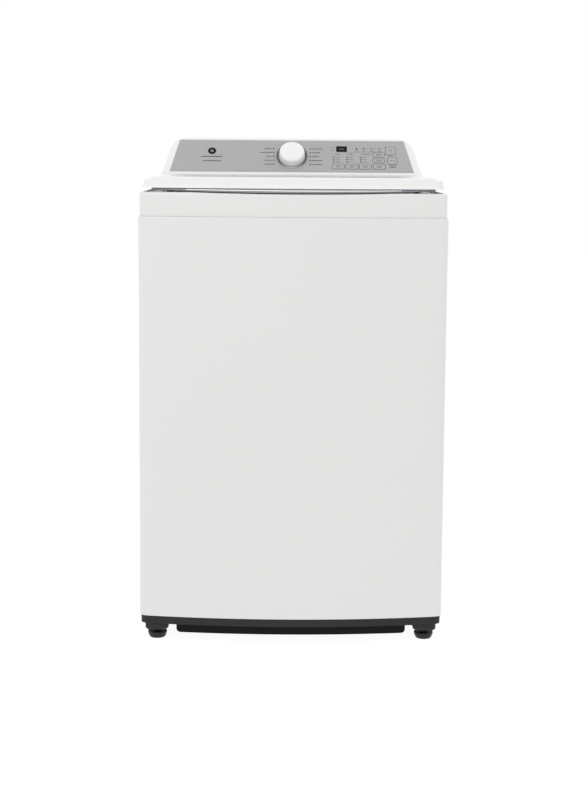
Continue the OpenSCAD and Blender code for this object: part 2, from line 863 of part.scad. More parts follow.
module console_body() {
    plate_half = console_top_half - 22;
    color(appliance_white) difference() {
        console_form(0);
        console_form(console_wall);
        tilted_space(0, deck_z + seat_gap);
        on_face() translate([0, 0, -panel_t + button_proud])
            linear_extrude(panel_t + 5) polygon(panel_plan(-2 + seat_gap));
        on_face() translate([0, 0, -14]) linear_extrude(20) polygon(panel_plan(-12));
        translate([-plate_half, back_y - 2 * console_wall, deck_z + 40])
            cube([2 * plate_half, 3 * console_wall, console_top - deck_z - 72]);
        translate([-plate_half - 8, back_y - sheet_t, deck_z + 32])
            cube([2 * plate_half + 16, 2 * sheet_t, console_top - deck_z - 44]);
        console_screw_places() screw_hole();
    }
}

module console_back() {
    plate_half = console_top_half - 22 + 8 - seat_gap;
    color(steel) difference() {
        translate([-plate_half, back_y - sheet_t, deck_z + 32 + seat_gap])
            cube([2 * plate_half, sheet_t, console_top - deck_z - 44 - 2 * seat_gap]);
        console_screw_places() screw_hole();
        for (i = [-4:4]) translate([i * 12 + 150, back_y, deck_z + 60]) rotate([90, 0, 0])
            linear_extrude(6, center = true) polygon(rounded(5, 24, 2.4, 4));
    }
}

module button_hole(place, size) {
    translate([place[0], place[1], -10]) linear_extrude(20)
        polygon(rounded(size[0] + 2 * button_gap, size[1] + 2 * button_gap, 3.5, 4));
}

module control_panel() {
    color(panel_grey) on_face() difference() {
        translate([0, 0, -panel_t + button_proud]) linear_extrude(panel_t) polygon(panel_plan(-2));
        translate([0, 0, -10]) cylinder(r = knob_d / 2 - 8, h = 20);
        button_hole(power_place, power_size);
        button_hole(start_place, start_size);
        for (i = [0:5]) button_hole(option_places[i], i < 4 ? option_size : small_option_size);
        translate([display_place[0], display_place[1], -10]) linear_extrude(20)
            polygon(rounded(display_size[0], display_size[1], 1.5, 3));
        for (p = light_places) translate([p[0], p[1], -10]) cylinder(r = light_d / 2, h = 20, $fn = 24);
    }
}

module display_window() {
    color(soft_black) on_face() translate([display_place[0], display_place[1], -panel_t - 3])
        linear_extrude(panel_t + 3 + button_proud) polygon(rounded(display_size[0], display_size[1], 1.5, 3));
}

module indicator_lights() {
    color([0.9, 0.5, 0.2]) on_face() for (p = light_places) translate([p[0], p[1], -panel_t - 3])
        cylinder(r = light_d / 2, h = panel_t + 3 + button_proud, $fn = 24);
}

module control_board() {
    z = -panel_t - button_back - button_travel - 2.8;
    right = console_foot_half - board_end_gap;
    color([0.1, 0.35, 0.2]) on_face() difference() {
        union() {
            translate([board_left, board_low, z - board_t])
                cube([right - board_left, board_high - board_low, board_t]);
            translate([90, -30, z - 14]) cube([40, 30, 13]);
            translate([150, -34, z - 20]) cube([30, 26, 19]);
            translate([right - 75, 0, z - 10]) cube([36, 18, 9]);
        }
        for (x = [board_left + 6, right - 6], y = [board_low + 6, board_high - 6])
            translate([x, y, z - 5]) cylinder(r = 2, h = 10, $fn = 24);
    }
}

module push_button(place, size) {
    on_face() translate([place[0], place[1], 0]) {
        translate([0, 0, -panel_t])
            linear_extrude(panel_t + 2 * button_proud) polygon(rounded(size[0], size[1], 3, 4));
        translate([0, 0, -panel_t - button_back]) cylinder(r = 3, h = button_back + 1);
    }
}

module power_button() {
    color(panel_grey) push_button(power_place, power_size);
}

module start_button() {
    color(panel_grey) push_button(start_place, start_size);
}

module option_button(i) {
    color(panel_grey) push_button(option_places[i], i < 4 ? option_size : small_option_size);
}

module knob_ring() {
    color([0.35, 0.36, 0.37]) on_face() translate([0, 0, button_proud])
        rotate_extrude() polygon([
            [knob_d / 2 + 1.5, 0], [knob_ring_d / 2, 0], [knob_ring_d / 2 - 0.6, 2], [knob_d / 2 + 2.1, 2]
        ]);
}

module cycle_encoder() {
    color(soft_black) on_face() translate([0, 0, -panel_t - 9]) difference() {
        union() {
            translate([-14, -14, -8]) cube([28, 28, 8]);
            cylinder(r = 7, h = 6);
        }
        translate([0, 0, -9]) cylinder(r = 3 + running_gap, h = 20, $fn = 32);
    }
}

module cycle_knob() {
    r = knob_d / 2;
    low = button_proud + 1;
    color(appliance_white) on_face() union() {
        difference() {
            translate([0, 0, low]) rotate_extrude($fn = 96) polygon(concat(
                [[0, 0], [r, 0], [r - 1.2, knob_h - 6]],
                [for (i = [1:6]) [r - 1.2 - 5 * (1 - cos(15 * i)), knob_h - 6 + 5 * sin(15 * i)]],
                [[r - 16, knob_h], [0, knob_h - 0.6]]
            ));
            translate([0, 0, low - 1]) tube(r - 3, r - 10, knob_h - 6);
        }
        translate([0, 0, -panel_t - 15]) cylinder(r = 3, h = 20, $fn = 32);
        translate([-1.2, r - 13, low + knob_h - 1]) cube([2.4, 9, 1.4]);
    }
}

// ---------------------------------------------------------------- wash unit

module tub_ear(sx, sy) {
    a = atan2(sy * rod_y, sx * rod_x);
    d = norm([rod_x, rod_y]);
    root = tub_r - tub_wall / 2;
    eye_r = 18;
    rotate([0, 0, a]) translate([root, -eye_r + 3, 0]) cube([d - eye_r / 2 - root, 2 * eye_r - 6, ear_t - 1]);
    translate([sx * rod_x, sy * rod_y, 0]) cylinder(r = eye_r, h = ear_t);
}

module outer_tub() {
    color(tub_grey) at_tub() difference() {
        union() {
            translate([0, 0, tub_bottom]) tube(tub_r, tub_r - tub_wall, tub_top - tub_cover_h - tub_bottom);
            translate([0, 0, tub_bottom]) cylinder(r = tub_r - tub_wall / 2, h = tub_floor_t);
            translate([0, 0, ear_bottom]) difference() {
                for (sx = [-1, 1], sy = [-1, 1]) tub_ear(sx, sy);
                translate([0, 0, -1]) cylinder(r = tub_r - tub_wall / 2, h = ear_t + 2);
            }
            for (z = [tub_bottom + 60, tub_top - tub_cover_h - 100]) translate([0, 0, z])
                tube(tub_r + 4, tub_r - tub_wall / 2, 4);
            translate([0, 0, tub_top - tub_cover_h - 8]) tube(tub_r + 5, tub_r - tub_wall / 2, 8);
        }
        translate([0, 0, tub_bottom - 1]) cylinder(r = bearing_r + 4, h = tub_floor_t + 2);
        for (sx = [-1, 1], sy = [-1, 1]) translate([sx * rod_x, sy * rod_y, ear_bottom - 1])
            cylinder(r = rod_r + 1, h = ear_t + 2);
        translate([pump_x, pump_y - tub_y, tub_bottom - 1]) cylinder(r = 13, h = 10);
    }
}

module tub_cover() {
    z = tub_top - tub_cover_h;
    inner = basket_r - balance_w - 4;
    color(tub_grey) at_tub() translate([0, 0, z]) rotate_extrude($fn = 96) polygon([
        [tub_r + 5, 0], [tub_r + 5, 6], [tub_r, tub_cover_h - 4], [tub_r - 8, tub_cover_h],
        [inner + 4, tub_cover_h],
        [inner, tub_cover_h - 4], [inner, tub_cover_h - 12], [inner + 3, tub_cover_h - 12],
        [inner + 5, tub_cover_h - 3], [tub_r - 9, tub_cover_h - 3], [tub_r - tub_wall, 0]
    ]);
}

module mount_bracket() {
    z = tub_bottom - bracket_t;
    reach = tub_r - 30;
    color(steel) at_tub() difference() {
        union() {
            for (a = [0, 90]) rotate([0, 0, a]) translate([-reach, -bracket_w / 2, z])
                cube([2 * reach, bracket_w, 3]);
            for (a = [0:90:270]) rotate([0, 0, a]) translate([bracket_w / 2 - 3, 0, 0]) for (s = [-1, 1])
                translate([0, s * bracket_w / 2 - (s > 0 ? 3 : 0), z])
                    cube([reach - bracket_w / 2 + 3, 3, bracket_t]);
            translate([0, 0, z]) cylinder(r = gearcase_r + 18, h = 3);
        }
        translate([0, 0, z - 1]) cylinder(r = bearing_r + 4 + seat_gap, h = bracket_t + 2);
        translate([-motor_reach, 0, z - 1]) for (a = [45:90:315])
            rotate([0, 0, a]) translate([motor_r * 0.55, 0, 0])
                cylinder(r = 3.2, h = 6, $fn = 24);
    }
}

module gearcase() {
    seat = bearing_h + 1;
    boss_r = bearing_r + 4;
    color([0.55, 0.56, 0.58]) at_tub() translate([0, 0, gearcase_bottom]) rotate_extrude($fn = 72) polygon([
        [bearing_r, 0], [gearcase_r - 8, 0], [gearcase_r, 8], [gearcase_r, gearcase_h - 14],
        [gearcase_r + 14, gearcase_h - 6], [gearcase_r + 14, gearcase_h], [boss_r, gearcase_h],
        [boss_r, gearcase_h + 10 - seat_gap], [bearing_r, gearcase_h + 10 - seat_gap],
        [bearing_r, gearcase_h + 10 - seat_gap - seat], [gearcase_r - 8, gearcase_h - 22],
        [gearcase_r - 8, seat + 8], [bearing_r, seat]
    ]);
}

module shaft_bearings() {
    color(steel) at_tub()
        for (z = [gearcase_bottom + 0.5, tub_bottom - seat_gap - bearing_h - 0.5])
            translate([0, 0, z])
                tube(bearing_r, spin_tube_r + running_gap, bearing_h);
}

module tub_seal() {
    color(soft_black) at_tub() translate([0, 0, tub_bottom]) rotate_extrude() polygon([
        [spin_tube_r + running_gap, 0], [bearing_r + 4, 0], [bearing_r + 4, tub_floor_t],
        [spin_tube_r + 6, tub_floor_t + 4], [spin_tube_r + running_gap, seal_h - 6]
    ]);
}

module basket() {
    h = basket_top - basket_floor;
    dish = 14;
    hole_r = 4;
    color(steel) at_tub() difference() {
        union() {
            translate([0, 0, basket_floor]) tube(basket_r, basket_r - basket_wall, h);
            translate([0, 0, basket_floor])
                tube(basket_r - basket_wall / 2, spin_tube_r + 22, basket_floor_t);
            translate([0, 0, basket_floor + h / 2]) tube(basket_r + 2, basket_r - basket_wall / 2, 6);
        }
        for (z = [0.2, 0.8], a = [0:30:330]) translate([0, 0, basket_floor + z * h]) rotate([0, 90, a + 15])
            cylinder(r = hole_r, h = basket_r + dish, $fn = 16);
    }
}

module basket_hub() {
    color([0.66, 0.67, 0.68]) at_tub() difference() {
        union() {
            translate([0, 0, gearcase_bottom - 20])
                cylinder(r = spin_tube_r, h = hub_bottom - gearcase_bottom + 22);
            translate([0, 0, hub_bottom]) cylinder(r = hub_r, h = hub_arm_t);
            for (a = [90, 210, 330]) rotate([0, 0, a]) translate([hub_r - 12, -17, hub_bottom])
                cube([basket_r - 6 - hub_r + 12, 34, hub_arm_t - 1]);
            translate([0, 0, hub_bottom]) cylinder(r = spin_tube_r + 18, h = hub_arm_t + basket_floor_t + 1);
        }
        translate([0, 0, gearcase_bottom - 21]) cylinder(r = shaft_r + running_gap, h = basket_floor);
    }
}

module balance_ring() {
    outer = basket_r + 3;
    inner = basket_r - balance_w;
    color([0.8, 0.82, 0.84]) at_tub() translate([0, 0, basket_top]) rotate_extrude($fn = 96) polygon([
        [inner + 3, 0], [outer, 0], [outer, balance_h - 6], [outer - 6, balance_h], [inner + 6, balance_h],
        [inner, balance_h - 6], [inner, 6]
    ]);
}

module impeller() {
    r = impeller_r;
    vane_h = 22;
    color([0.9, 0.91, 0.92]) at_tub() difference() {
        union() {
            translate([0, 0, impeller_floor]) rotate_extrude($fn = 96) polygon(concat(
                [[0, 0], [r - 4, 0], [r, 4], [r, 10], [r - 3, 12]],
                [for (i = [1:8]) let (t = i / 8) [(r - 3) * (1 - t), 12 - 4 * sin(180 * t) + 26 * pow(t, 3)]]
            ));
            intersection() {
                for (a = [0:60:300])
                    rotate([0, 0, a]) translate([34, 0, impeller_floor + 8]) rotate([0, 90, 0])
                        cylinder(r1 = vane_h, r2 = vane_h * 0.6, h = r - 56);
                translate([0, 0, impeller_floor + 2]) cylinder(r = r, h = 80);
            }
            translate([0, 0, impeller_floor]) cylinder(r = 32, h = 46);
        }
        translate([0, 0, impeller_floor - 1]) cylinder(r = shaft_r, h = 40);
        translate([0, 0, impeller_floor + 36]) cylinder(r = 12, h = 20);
    }
}

module drive_shaft() {
    color(steel) at_tub() union() {
        translate([0, 0, pulley_bottom - 6])
            cylinder(r = shaft_r, h = impeller_floor + 36 - pulley_bottom + 6);
        translate([0, 0, impeller_floor + 36]) cylinder(r = 10, h = 5, $fn = 6);
    }
}

// A pulley with a flanged rim for a flat ribbed belt, a web and a hub
module pulley(r, hub, bore) {
    edge = r + 3;
    difference() {
        rotate_extrude($fn = 96) polygon([
            [bore, 0], [hub, 0], [hub, 6], [r - 6, 6], [r - 6, 0], [edge, 0], [edge, 2], [r, pulley_rim],
            [r, pulley_h - pulley_rim], [edge, pulley_h - 2], [edge, pulley_h],
            [r - 6, pulley_h], [r - 6, 11],
            [hub, 11], [hub, pulley_h], [bore, pulley_h]
        ]);
        for (a = [0:60:300]) rotate([0, 0, a]) translate([(r + hub) / 2, 0, -1])
            cylinder(r = (r - hub) / 4, h = pulley_h + 2);
    }
}

module drive_pulley() {
    color(charcoal) at_tub() translate([0, 0, pulley_bottom]) pulley(pulley_r, 22, shaft_r);
}

module motor() {
    h = motor_top - motor_bottom;
    core_r = 41;
    wall = 4;
    color([0.3, 0.31, 0.33]) at_motor() translate([0, 0, motor_bottom]) difference() {
        union() {
            cylinder(r = motor_r, h = h);
            for (a = [45:90:315]) rotate([0, 0, a]) translate([motor_r * 0.55, 0, h - 1])
                cylinder(r = 7, h = 7, $fn = 24);
            translate([0, 0, -6]) cylinder(r = 18, h = 8);
        }
        translate([0, 0, wall]) cylinder(r = core_r, h = h - 2 * wall);
        for (z = [wall, h - wall - 18]) translate([0, 0, z]) cylinder(r = motor_r - wall, h = 18);
        translate([0, 0, -8]) cylinder(r = 7 + running_gap, h = h / 2 + 8);
        for (a = [0:45:315], z = [wall + 8, h - wall - 8]) translate([0, 0, z]) rotate([0, 90, a])
            cylinder(r = 4, h = motor_r + 5, $fn = 16);
    }
}

module motor_rotor() {
    core_r = 40;
    color(steel) at_motor() union() {
        translate([0, 0, pulley_bottom - 4]) cylinder(r = 7, h = motor_top - 8 - pulley_bottom);
        translate([0, 0, motor_bottom + 30]) cylinder(r = core_r, h = motor_top - motor_bottom - 60);
        translate([0, 0, pulley_bottom]) rotate_extrude() polygon([
            [0, 0], [motor_pulley_r + 3, 0], [motor_pulley_r + 3, 2], [motor_pulley_r, pulley_rim],
            [motor_pulley_r, pulley_h - pulley_rim], [motor_pulley_r + 3, pulley_h - 2],
            [motor_pulley_r + 3, pulley_h], [0, pulley_h]
        ]);
    }
}

// A loop round both pulleys: two arcs joined by the tangents
function belt_loop(grow) =
    let (
        big = pulley_r + grow,
        small = motor_pulley_r + grow,
        lean = asin((big - small) / motor_reach)
    )
    concat(
        [for (i = [0:48]) let (a = -90 - lean + (180 + 2 * lean) * i / 48) [big * cos(a), big * sin(a)]],
        [
            for (i = [0:20]) let (a = 90 + lean + (180 - 2 * lean) * i / 20)
                [small * cos(a) - motor_reach, small * sin(a)]
        ]
    );

module drive_belt() {
    z = pulley_bottom + pulley_rim + slide_gap;
    color(soft_black) at_tub()
        ring_slab(belt_loop(slide_gap + 2.4), belt_loop(slide_gap), z, z + belt_w - 2 * slide_gap);
}

// ---------------------------------------------------------------- pump and drain

module pump_housing() {
    wall = 3;
    out_y = drain_line_y - pump_y;
    color(soft_black) at_pump() difference() {
        union() {
            translate([0, 0, pump_bottom]) cylinder(r = pump_r, h = pump_h);
            translate([0, 0, pump_bottom - 46]) cylinder(r = pump_r - 12, h = 48);
            translate([0, 0, pump_bottom + pump_h - 1])
                cylinder(r = 16, h = tub_bottom - pump_bottom - pump_h + 1 - eps);
            translate([0, 0, pump_outlet_z]) rotate([-90, 0, 0]) cylinder(r = nozzle_r, h = out_y);
            translate([0, out_y, pump_outlet_z]) sphere(r = nozzle_r);
            translate([0, out_y, pump_outlet_z]) cylinder(r = nozzle_r, h = nozzle_top - pump_outlet_z);
        }
        translate([0, 0, pump_bottom + wall]) cylinder(r = pump_r - wall, h = pump_h - 2 * wall);
        translate([0, 0, pump_bottom + pump_h - 5]) cylinder(r = 13, h = tub_bottom - pump_bottom);
        translate([0, 20, pump_outlet_z]) rotate([-90, 0, 0]) cylinder(r = nozzle_r - wall, h = out_y - 20);
        translate([0, out_y, pump_outlet_z]) sphere(r = nozzle_r - wall);
        translate([0, out_y, pump_outlet_z]) cylinder(r = nozzle_r - wall, h = 100);
        translate([0, 0, pump_bottom - 20]) cylinder(r = 4, h = 40, $fn = 32);
    }
}

module pump_rotor() {
    z = pump_bottom + 3;
    color([0.7, 0.72, 0.75]) at_pump() union() {
        translate([0, 0, z - 18]) cylinder(r = 3.6, h = 40, $fn = 32);
        translate([0, 0, z + 2]) cylinder(r = 30, h = 3);
        for (a = [0:45:135]) rotate([0, 0, a]) translate([-29, -1, z + 4]) cube([58, 2, 20]);
    }
}

// A hose: straight up from the pump, then one bend out through the back of the cabinet
module drain_path(r, low, out) {
    top = port_z - hose_bend_r;
    translate([pump_x, drain_line_y, low]) cylinder(r = r, h = top - low);
    translate([pump_x, drain_line_y + hose_bend_r, top]) rotate([0, -90, 0]) rotate([0, 0, -90])
        rotate_extrude(angle = 90) translate([hose_bend_r, 0]) circle(r = r);
    if (out > hose_bend_r) translate([pump_x, drain_line_y + hose_bend_r, port_z]) rotate([-90, 0, 0])
        cylinder(r = r, h = out - hose_bend_r);
}

module drain_hose() {
    out = back_y + port_reach - drain_line_y;
    color([0.45, 0.46, 0.48]) difference() {
        union() {
            drain_path(drain_r, hose_bottom, out);
            for (i = [0:5]) translate([pump_x, drain_line_y, hose_bottom + 4 + 7 * i])
                cylinder(r = drain_r + 1.5, h = 3);
        }
        drain_path(nozzle_r + slide_gap, hose_bottom - 1, out + 1);
    }
}

module drain_port() {
    translate([pump_x, back_y, port_z]) rotate([-90, 0, 0]) children();
}

// ---------------------------------------------------------------- suspension

module suspension_rods() {
    cup_r = spring_r + 5;
    color(steel) at_rods() union() {
        translate([0, 0, rod_bottom]) cylinder(r = rod_r, h = rod_top + 8 - rod_bottom);
        translate([0, 0, rod_top]) intersection() {
            sphere(r = 12);
            cylinder(r = 12, h = 14);
        }
        translate([0, 0, rod_bottom + 4]) rotate_extrude() polygon([
            [0, 0], [cup_r - 6, 0], [cup_r, 6], [cup_r, 18],
            [cup_r - 2, 18], [cup_r - 2, 12 - eps], [0, 12 - eps]
        ]);
    }
}

function coil_point(r, pitch, a) = [r * cos(a), r * sin(a), pitch * a / 360];

// A round wire swept along a helix
module coil(r, wire, turns, h) {
    sides = 6;
    per_turn = 14;
    count = turns * per_turn;
    pitch = (h - 2 * wire) / turns;
    rings = [
        for (i = [0:count]) let (a = 360 * i / per_turn, c = coil_point(r, pitch, a))
            for (k = [0:sides - 1]) let (b = 360 * k / sides)
                c + [wire * cos(b) * cos(a), wire * cos(b) * sin(a), wire * sin(b)]
    ];
    walls = [
        for (i = [0:count - 1], k = [0:sides - 1])
            [
                i * sides + k, i * sides + (k + 1) % sides,
                (i + 1) * sides + (k + 1) % sides, (i + 1) * sides + k
            ]
    ];
    ends = [[for (k = [sides - 1:-1:0]) k], [for (k = [0:sides - 1]) count * sides + k]];
    translate([0, 0, wire]) polyhedron(points = rings, faces = concat(walls, ends), convexity = 10);
}

module suspension_springs() {
    color([0.5, 0.52, 0.55]) at_rods() translate([0, 0, spring_bottom + 0.5])
        coil(spring_r - spring_wire / 2, spring_wire / 2, spring_turns, spring_h - 1);
}

// ---------------------------------------------------------------- services at the back

module valve_ports() {
    for (i = [0, 1]) translate([cold_port_x + i * port_spacing, back_y, port_z])
        rotate([-90, 0, 0]) children();
}

module inlet_valve() {
    w = port_spacing + 44;
    d = 34;
    y0 = back_y - sheet_t - seat_gap - 14 - d;
    x0 = cold_port_x + port_spacing / 2 - w / 2;
    duct_x = cold_port_x + port_spacing / 2;
    color([0.85, 0.86, 0.86]) difference() {
        union() {
            translate([x0, y0, port_z - 15]) cube([w, d, 30]);
            translate([x0 + 6, y0 + d, port_z - 19]) cube([w - 12, 14, 38]);
            valve_ports() translate([0, 0, -15]) cylinder(r = water_port_r, h = 15 + port_reach);
            for (i = [0, 1]) translate([cold_port_x + i * port_spacing, y0 - 32, port_z]) rotate([-90, 0, 0])
                cylinder(r = 14, h = 33);
        }
        valve_ports() translate([0, 0, -20]) cylinder(r = water_port_r - 3.4, h = 20 + port_reach + 1);
        translate([duct_x - 9, y0 + 4, port_z]) cube([18, 18, 40]);
    }
}

module gland_place() {
    translate([gland_x, back_y, port_z]) rotate([-90, 0, 0]) children();
}

module power_gland() {
    color(soft_black) gland_place() difference() {
        union() {
            translate([0, 0, -12]) cylinder(r = cord_hole_r + 3.7, h = 14);
            cylinder(r = cord_hole_r + 6, h = 4);
            translate([0, 0, 3]) cylinder(r1 = cord_hole_r + 5, r2 = cord_hole_r + 2, h = 11);
            translate([0, 0, -12]) cylinder(r = cord_hole_r + 6, h = 12 - sheet_t - seat_gap);
        }
        translate([0, 0, -14]) cylinder(r = cord_hole_r, h = 40);
    }
}

module one_screw(head_out) {
    rotate([-90, 0, 0]) {
        translate([0, 0, head_out]) cylinder(r = 4.4, h = 2.4, $fn = 24);
        translate([0, 0, -9]) cylinder(r = 2, h = 9 + head_out + 1, $fn = 24);
    }
}

module case_screws() {
    color(steel) {
        rear_screw_places() one_screw(sheet_t);
        console_screw_places() one_screw(0);
    }
}

cabinet();
rear_panel();
base_frame();
front_skirt();
leg_lock_nuts();
at_leg(-1, -1) leveling_leg();  // leveling_leg_front_left
at_leg(1, -1) leveling_leg();  // leveling_leg_front_right
at_leg(-1, 1) leveling_leg();  // leveling_leg_rear_left
at_leg(1, 1) leveling_leg();  // leveling_leg_rear_right
top_cover();
fill_spout();
lid_lock_housing();
lid_lock_bolt();
lid_frame();
lid_liner();
lid_window();
lid_grip();
lid_bumpers();
lid_hinge_pins();
lid_strike();
console_body();
console_back();
control_panel();
display_window();
control_board();
cycle_encoder();
knob_ring();
cycle_knob();
indicator_lights();
power_button();
start_button();
option_button(0);  // option_button_1
option_button(1);  // option_button_2
option_button(2);  // option_button_3
option_button(3);  // option_button_4
option_button(4);  // option_button_5
option_button(5);  // option_button_6
outer_tub();
tub_cover();
mount_bracket();
gearcase();
shaft_bearings();
tub_seal();
basket();
basket_hub();
balance_ring();
impeller();
drive_shaft();
drive_pulley();
motor();
motor_rotor();
drive_belt();
pump_housing();
pump_rotor();
drain_hose();
suspension_rods();
suspension_springs();
inlet_valve();
power_gland();
case_screws();
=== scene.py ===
import json
import math

import bmesh
import bpy
from mathutils import Matrix, Vector


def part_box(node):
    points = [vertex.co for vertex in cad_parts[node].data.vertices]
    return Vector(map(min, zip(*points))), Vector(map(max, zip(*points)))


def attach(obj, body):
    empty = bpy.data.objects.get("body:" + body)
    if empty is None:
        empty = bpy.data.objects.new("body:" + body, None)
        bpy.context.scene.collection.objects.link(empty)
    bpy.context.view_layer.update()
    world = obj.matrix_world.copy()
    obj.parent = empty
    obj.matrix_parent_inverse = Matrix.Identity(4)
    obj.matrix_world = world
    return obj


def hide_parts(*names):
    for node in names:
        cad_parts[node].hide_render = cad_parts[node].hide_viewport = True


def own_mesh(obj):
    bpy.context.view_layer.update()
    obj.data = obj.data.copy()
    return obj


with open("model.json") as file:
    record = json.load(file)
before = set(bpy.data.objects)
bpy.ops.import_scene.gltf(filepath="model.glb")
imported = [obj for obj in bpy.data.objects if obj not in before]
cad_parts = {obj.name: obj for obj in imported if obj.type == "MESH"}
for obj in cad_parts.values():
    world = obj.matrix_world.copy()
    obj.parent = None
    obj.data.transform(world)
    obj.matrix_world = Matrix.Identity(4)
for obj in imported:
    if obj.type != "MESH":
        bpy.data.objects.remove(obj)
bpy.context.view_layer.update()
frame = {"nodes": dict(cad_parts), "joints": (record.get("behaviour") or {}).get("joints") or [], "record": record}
bpy.ops.object.select_all(action="DESELECT")

mm = 0.001
joints = {joint["name"]: joint for joint in frame["joints"]}

# the machine's plan: a bowed front, two front corners and two small rear corners
plan = {"bow": 34 * mm, "corner": 22 * mm, "rearCorner": 8 * mm, "deckRise": 48 * mm,
        "slope": math.radians(1.2)}

cabinetLow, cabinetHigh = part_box("cabinet")
frontY = cabinetLow.y
backY = cabinetHigh.y
halfWidth = cabinetHigh.x
bowRadius = (halfWidth ** 2 + plan["bow"] ** 2) / (2 * plan["bow"])
deckZ = cabinetHigh.z + plan["deckRise"]
faceMiddle = Vector(joints["cycle_knob_turn"]["pos_m"])
faceNormal = Vector(joints["cycle_knob_turn"]["axis"])
faceTurn = math.atan2(-faceNormal.y, faceNormal.z)
topTilt = (
    Matrix.Translation((0, frontY, deckZ))
    @ Matrix.Rotation(plan["slope"], 4, "X")
    @ Matrix.Translation((0, -frontY, -deckZ))
)
hingePlace = topTilt.inverted() @ Vector(joints["lid_hinge"]["pos_m"])
tubAxis = Vector(joints["basket_spin"]["pos_m"])


def objectMode():
    if bpy.context.object and bpy.context.object.mode != "OBJECT":
        bpy.ops.object.mode_set(mode="OBJECT")


def only(piece):
    objectMode()
    bpy.ops.object.select_all(action="DESELECT")
    piece.select_set(True)
    bpy.context.view_layer.objects.active = piece
    return piece


def edit(piece):
    only(piece)
    bpy.ops.object.mode_set(mode="EDIT")


def middle(part):
    if hasattr(part, "co"):
        return part.co
    return sum((v.co for v in part.verts), Vector()) / len(part.verts)


def pick(kind, test):
    # selects what passes the test in the mesh being edited
    bpy.ops.mesh.select_mode(type=kind)
    bpy.ops.mesh.select_all(action="DESELECT")
    data = bpy.context.object.data
    mesh = bmesh.from_edit_mesh(data)
    group = {"VERT": mesh.verts, "EDGE": mesh.edges, "FACE": mesh.faces}[kind]
    for part in group:
        if test(part):
            part.select_set(True)
    mesh.select_flush_mode()
    bmesh.update_edit_mesh(data)


def nudge(shift):
    # moves each vertex of the mesh being edited by what shift gives for its place
    data = bpy.context.object.data
    mesh = bmesh.from_edit_mesh(data)
    for vertex in mesh.verts:
        vertex.co += Vector(shift(vertex.co))
    bmesh.update_edit_mesh(data)


def penStart(name, place):
    # a plane shrunk to one point, which the pen then draws from
    objectMode()
    bpy.ops.object.select_all(action="DESELECT")
    bpy.ops.mesh.primitive_plane_add(size=0.01)
    piece = bpy.context.object
    piece.name = name
    bpy.ops.object.mode_set(mode="EDIT")
    bpy.ops.mesh.select_mode(type="VERT")
    bpy.ops.mesh.merge(type="CENTER")
    bpy.ops.transform.translate(value=place)
    return piece


def penLine(x, y, z=0):
    bpy.ops.mesh.extrude_region_move(TRANSFORM_OT_translate={"value": (x, y, z)})


def penArc(centre, turn, steps, axis=(0, 0, 1)):
    # spin turns clockwise for a positive angle, and the pen turns the other way
    bpy.ops.mesh.spin(steps=steps, dupli=False, angle=-turn, center=centre, axis=axis)


def recalc():
    bpy.ops.mesh.select_all(action="SELECT")
    bpy.ops.mesh.remove_doubles(threshold=0.000002)
    bpy.ops.mesh.normals_make_consistent(inside=False)


def fillUp():
    # closes the drawn loop with one face that looks up, and leaves it selected
    bpy.ops.mesh.select_all(action="SELECT")
    bpy.ops.mesh.remove_doubles(threshold=0.000002)
    bpy.ops.mesh.edge_face_add()
    face = bmesh.from_edit_mesh(bpy.context.object.data).faces
    face.ensure_lookup_table()
    if face[0].normal.z < 0:
        bpy.ops.mesh.flip_normals()


def drawBowed(name, inset, z, half=None, apex=None, corner=None, back=None, rearCorner=None, steps=20):
    # the right half of a bowed plan from the middle of the front to the middle of the back, then mirrored
    half = halfWidth - inset if half is None else half
    apex = frontY + inset if apex is None else apex
    radius = bowRadius - (halfWidth - half)
    corner = max(plan["corner"] - inset, 2 * mm) if corner is None else corner
    back = backY - inset if back is None else back
    rearCorner = max(plan["rearCorner"] - inset, 1 * mm) if rearCorner is None else rearCorner
    centreY = apex + radius
    turn = math.asin((half - corner) / (radius - corner))
    cornerY = centreY - math.sqrt((radius - corner) ** 2 - (half - corner) ** 2)
    piece = penStart(name, (0, apex, z))
    penArc((0, centreY, z), turn, steps)
    penArc((half - corner, cornerY, z), math.pi / 2 - turn, 8)
    penLine(0, back - rearCorner - cornerY)
    penArc((half - rearCorner, back - rearCorner, z), math.pi / 2, 4)
    penLine(rearCorner - half, 0)
    bpy.ops.mesh.select_all(action="SELECT")
    bpy.ops.mesh.symmetrize(direction="POSITIVE_X")
    fillUp()
    return piece


def drawRounded(name, centre, size, radius, z=0.0, steps=5):
    width = size[0] - 2 * radius
    depth = size[1] - 2 * radius
    x = centre[0] + width / 2
    y = centre[1] + depth / 2
    piece = penStart(name, (x - width, y - depth - radius, z))
    penLine(width, 0)
    penArc((x, y - depth, z), math.pi / 2, steps)
    penLine(0, depth)
    penArc((x, y, z), math.pi / 2, steps)
    penLine(-width, 0)
    penArc((x - width, y, z), math.pi / 2, steps)
    penLine(0, -depth)
    penArc((x - width, y - depth, z), math.pi / 2, steps)
    fillUp()
    return piece


def slab(thickness, *outline):
    # a rounded rectangle given some thickness
    piece = drawRounded(*outline)
    extrude(0, 0, thickness)
    recalc()
    objectMode()
    return piece


def extrude(x, y, z):
    bpy.ops.mesh.extrude_region_move(TRANSFORM_OT_translate={"value": (x, y, z)})


def inset(width, rise=0.0):
    bpy.ops.mesh.inset(thickness=width, depth=rise, use_even_offset=True)


def bevel(width, segments=3):
    bpy.ops.mesh.bevel(offset=width, segments=segments, affect="EDGES")


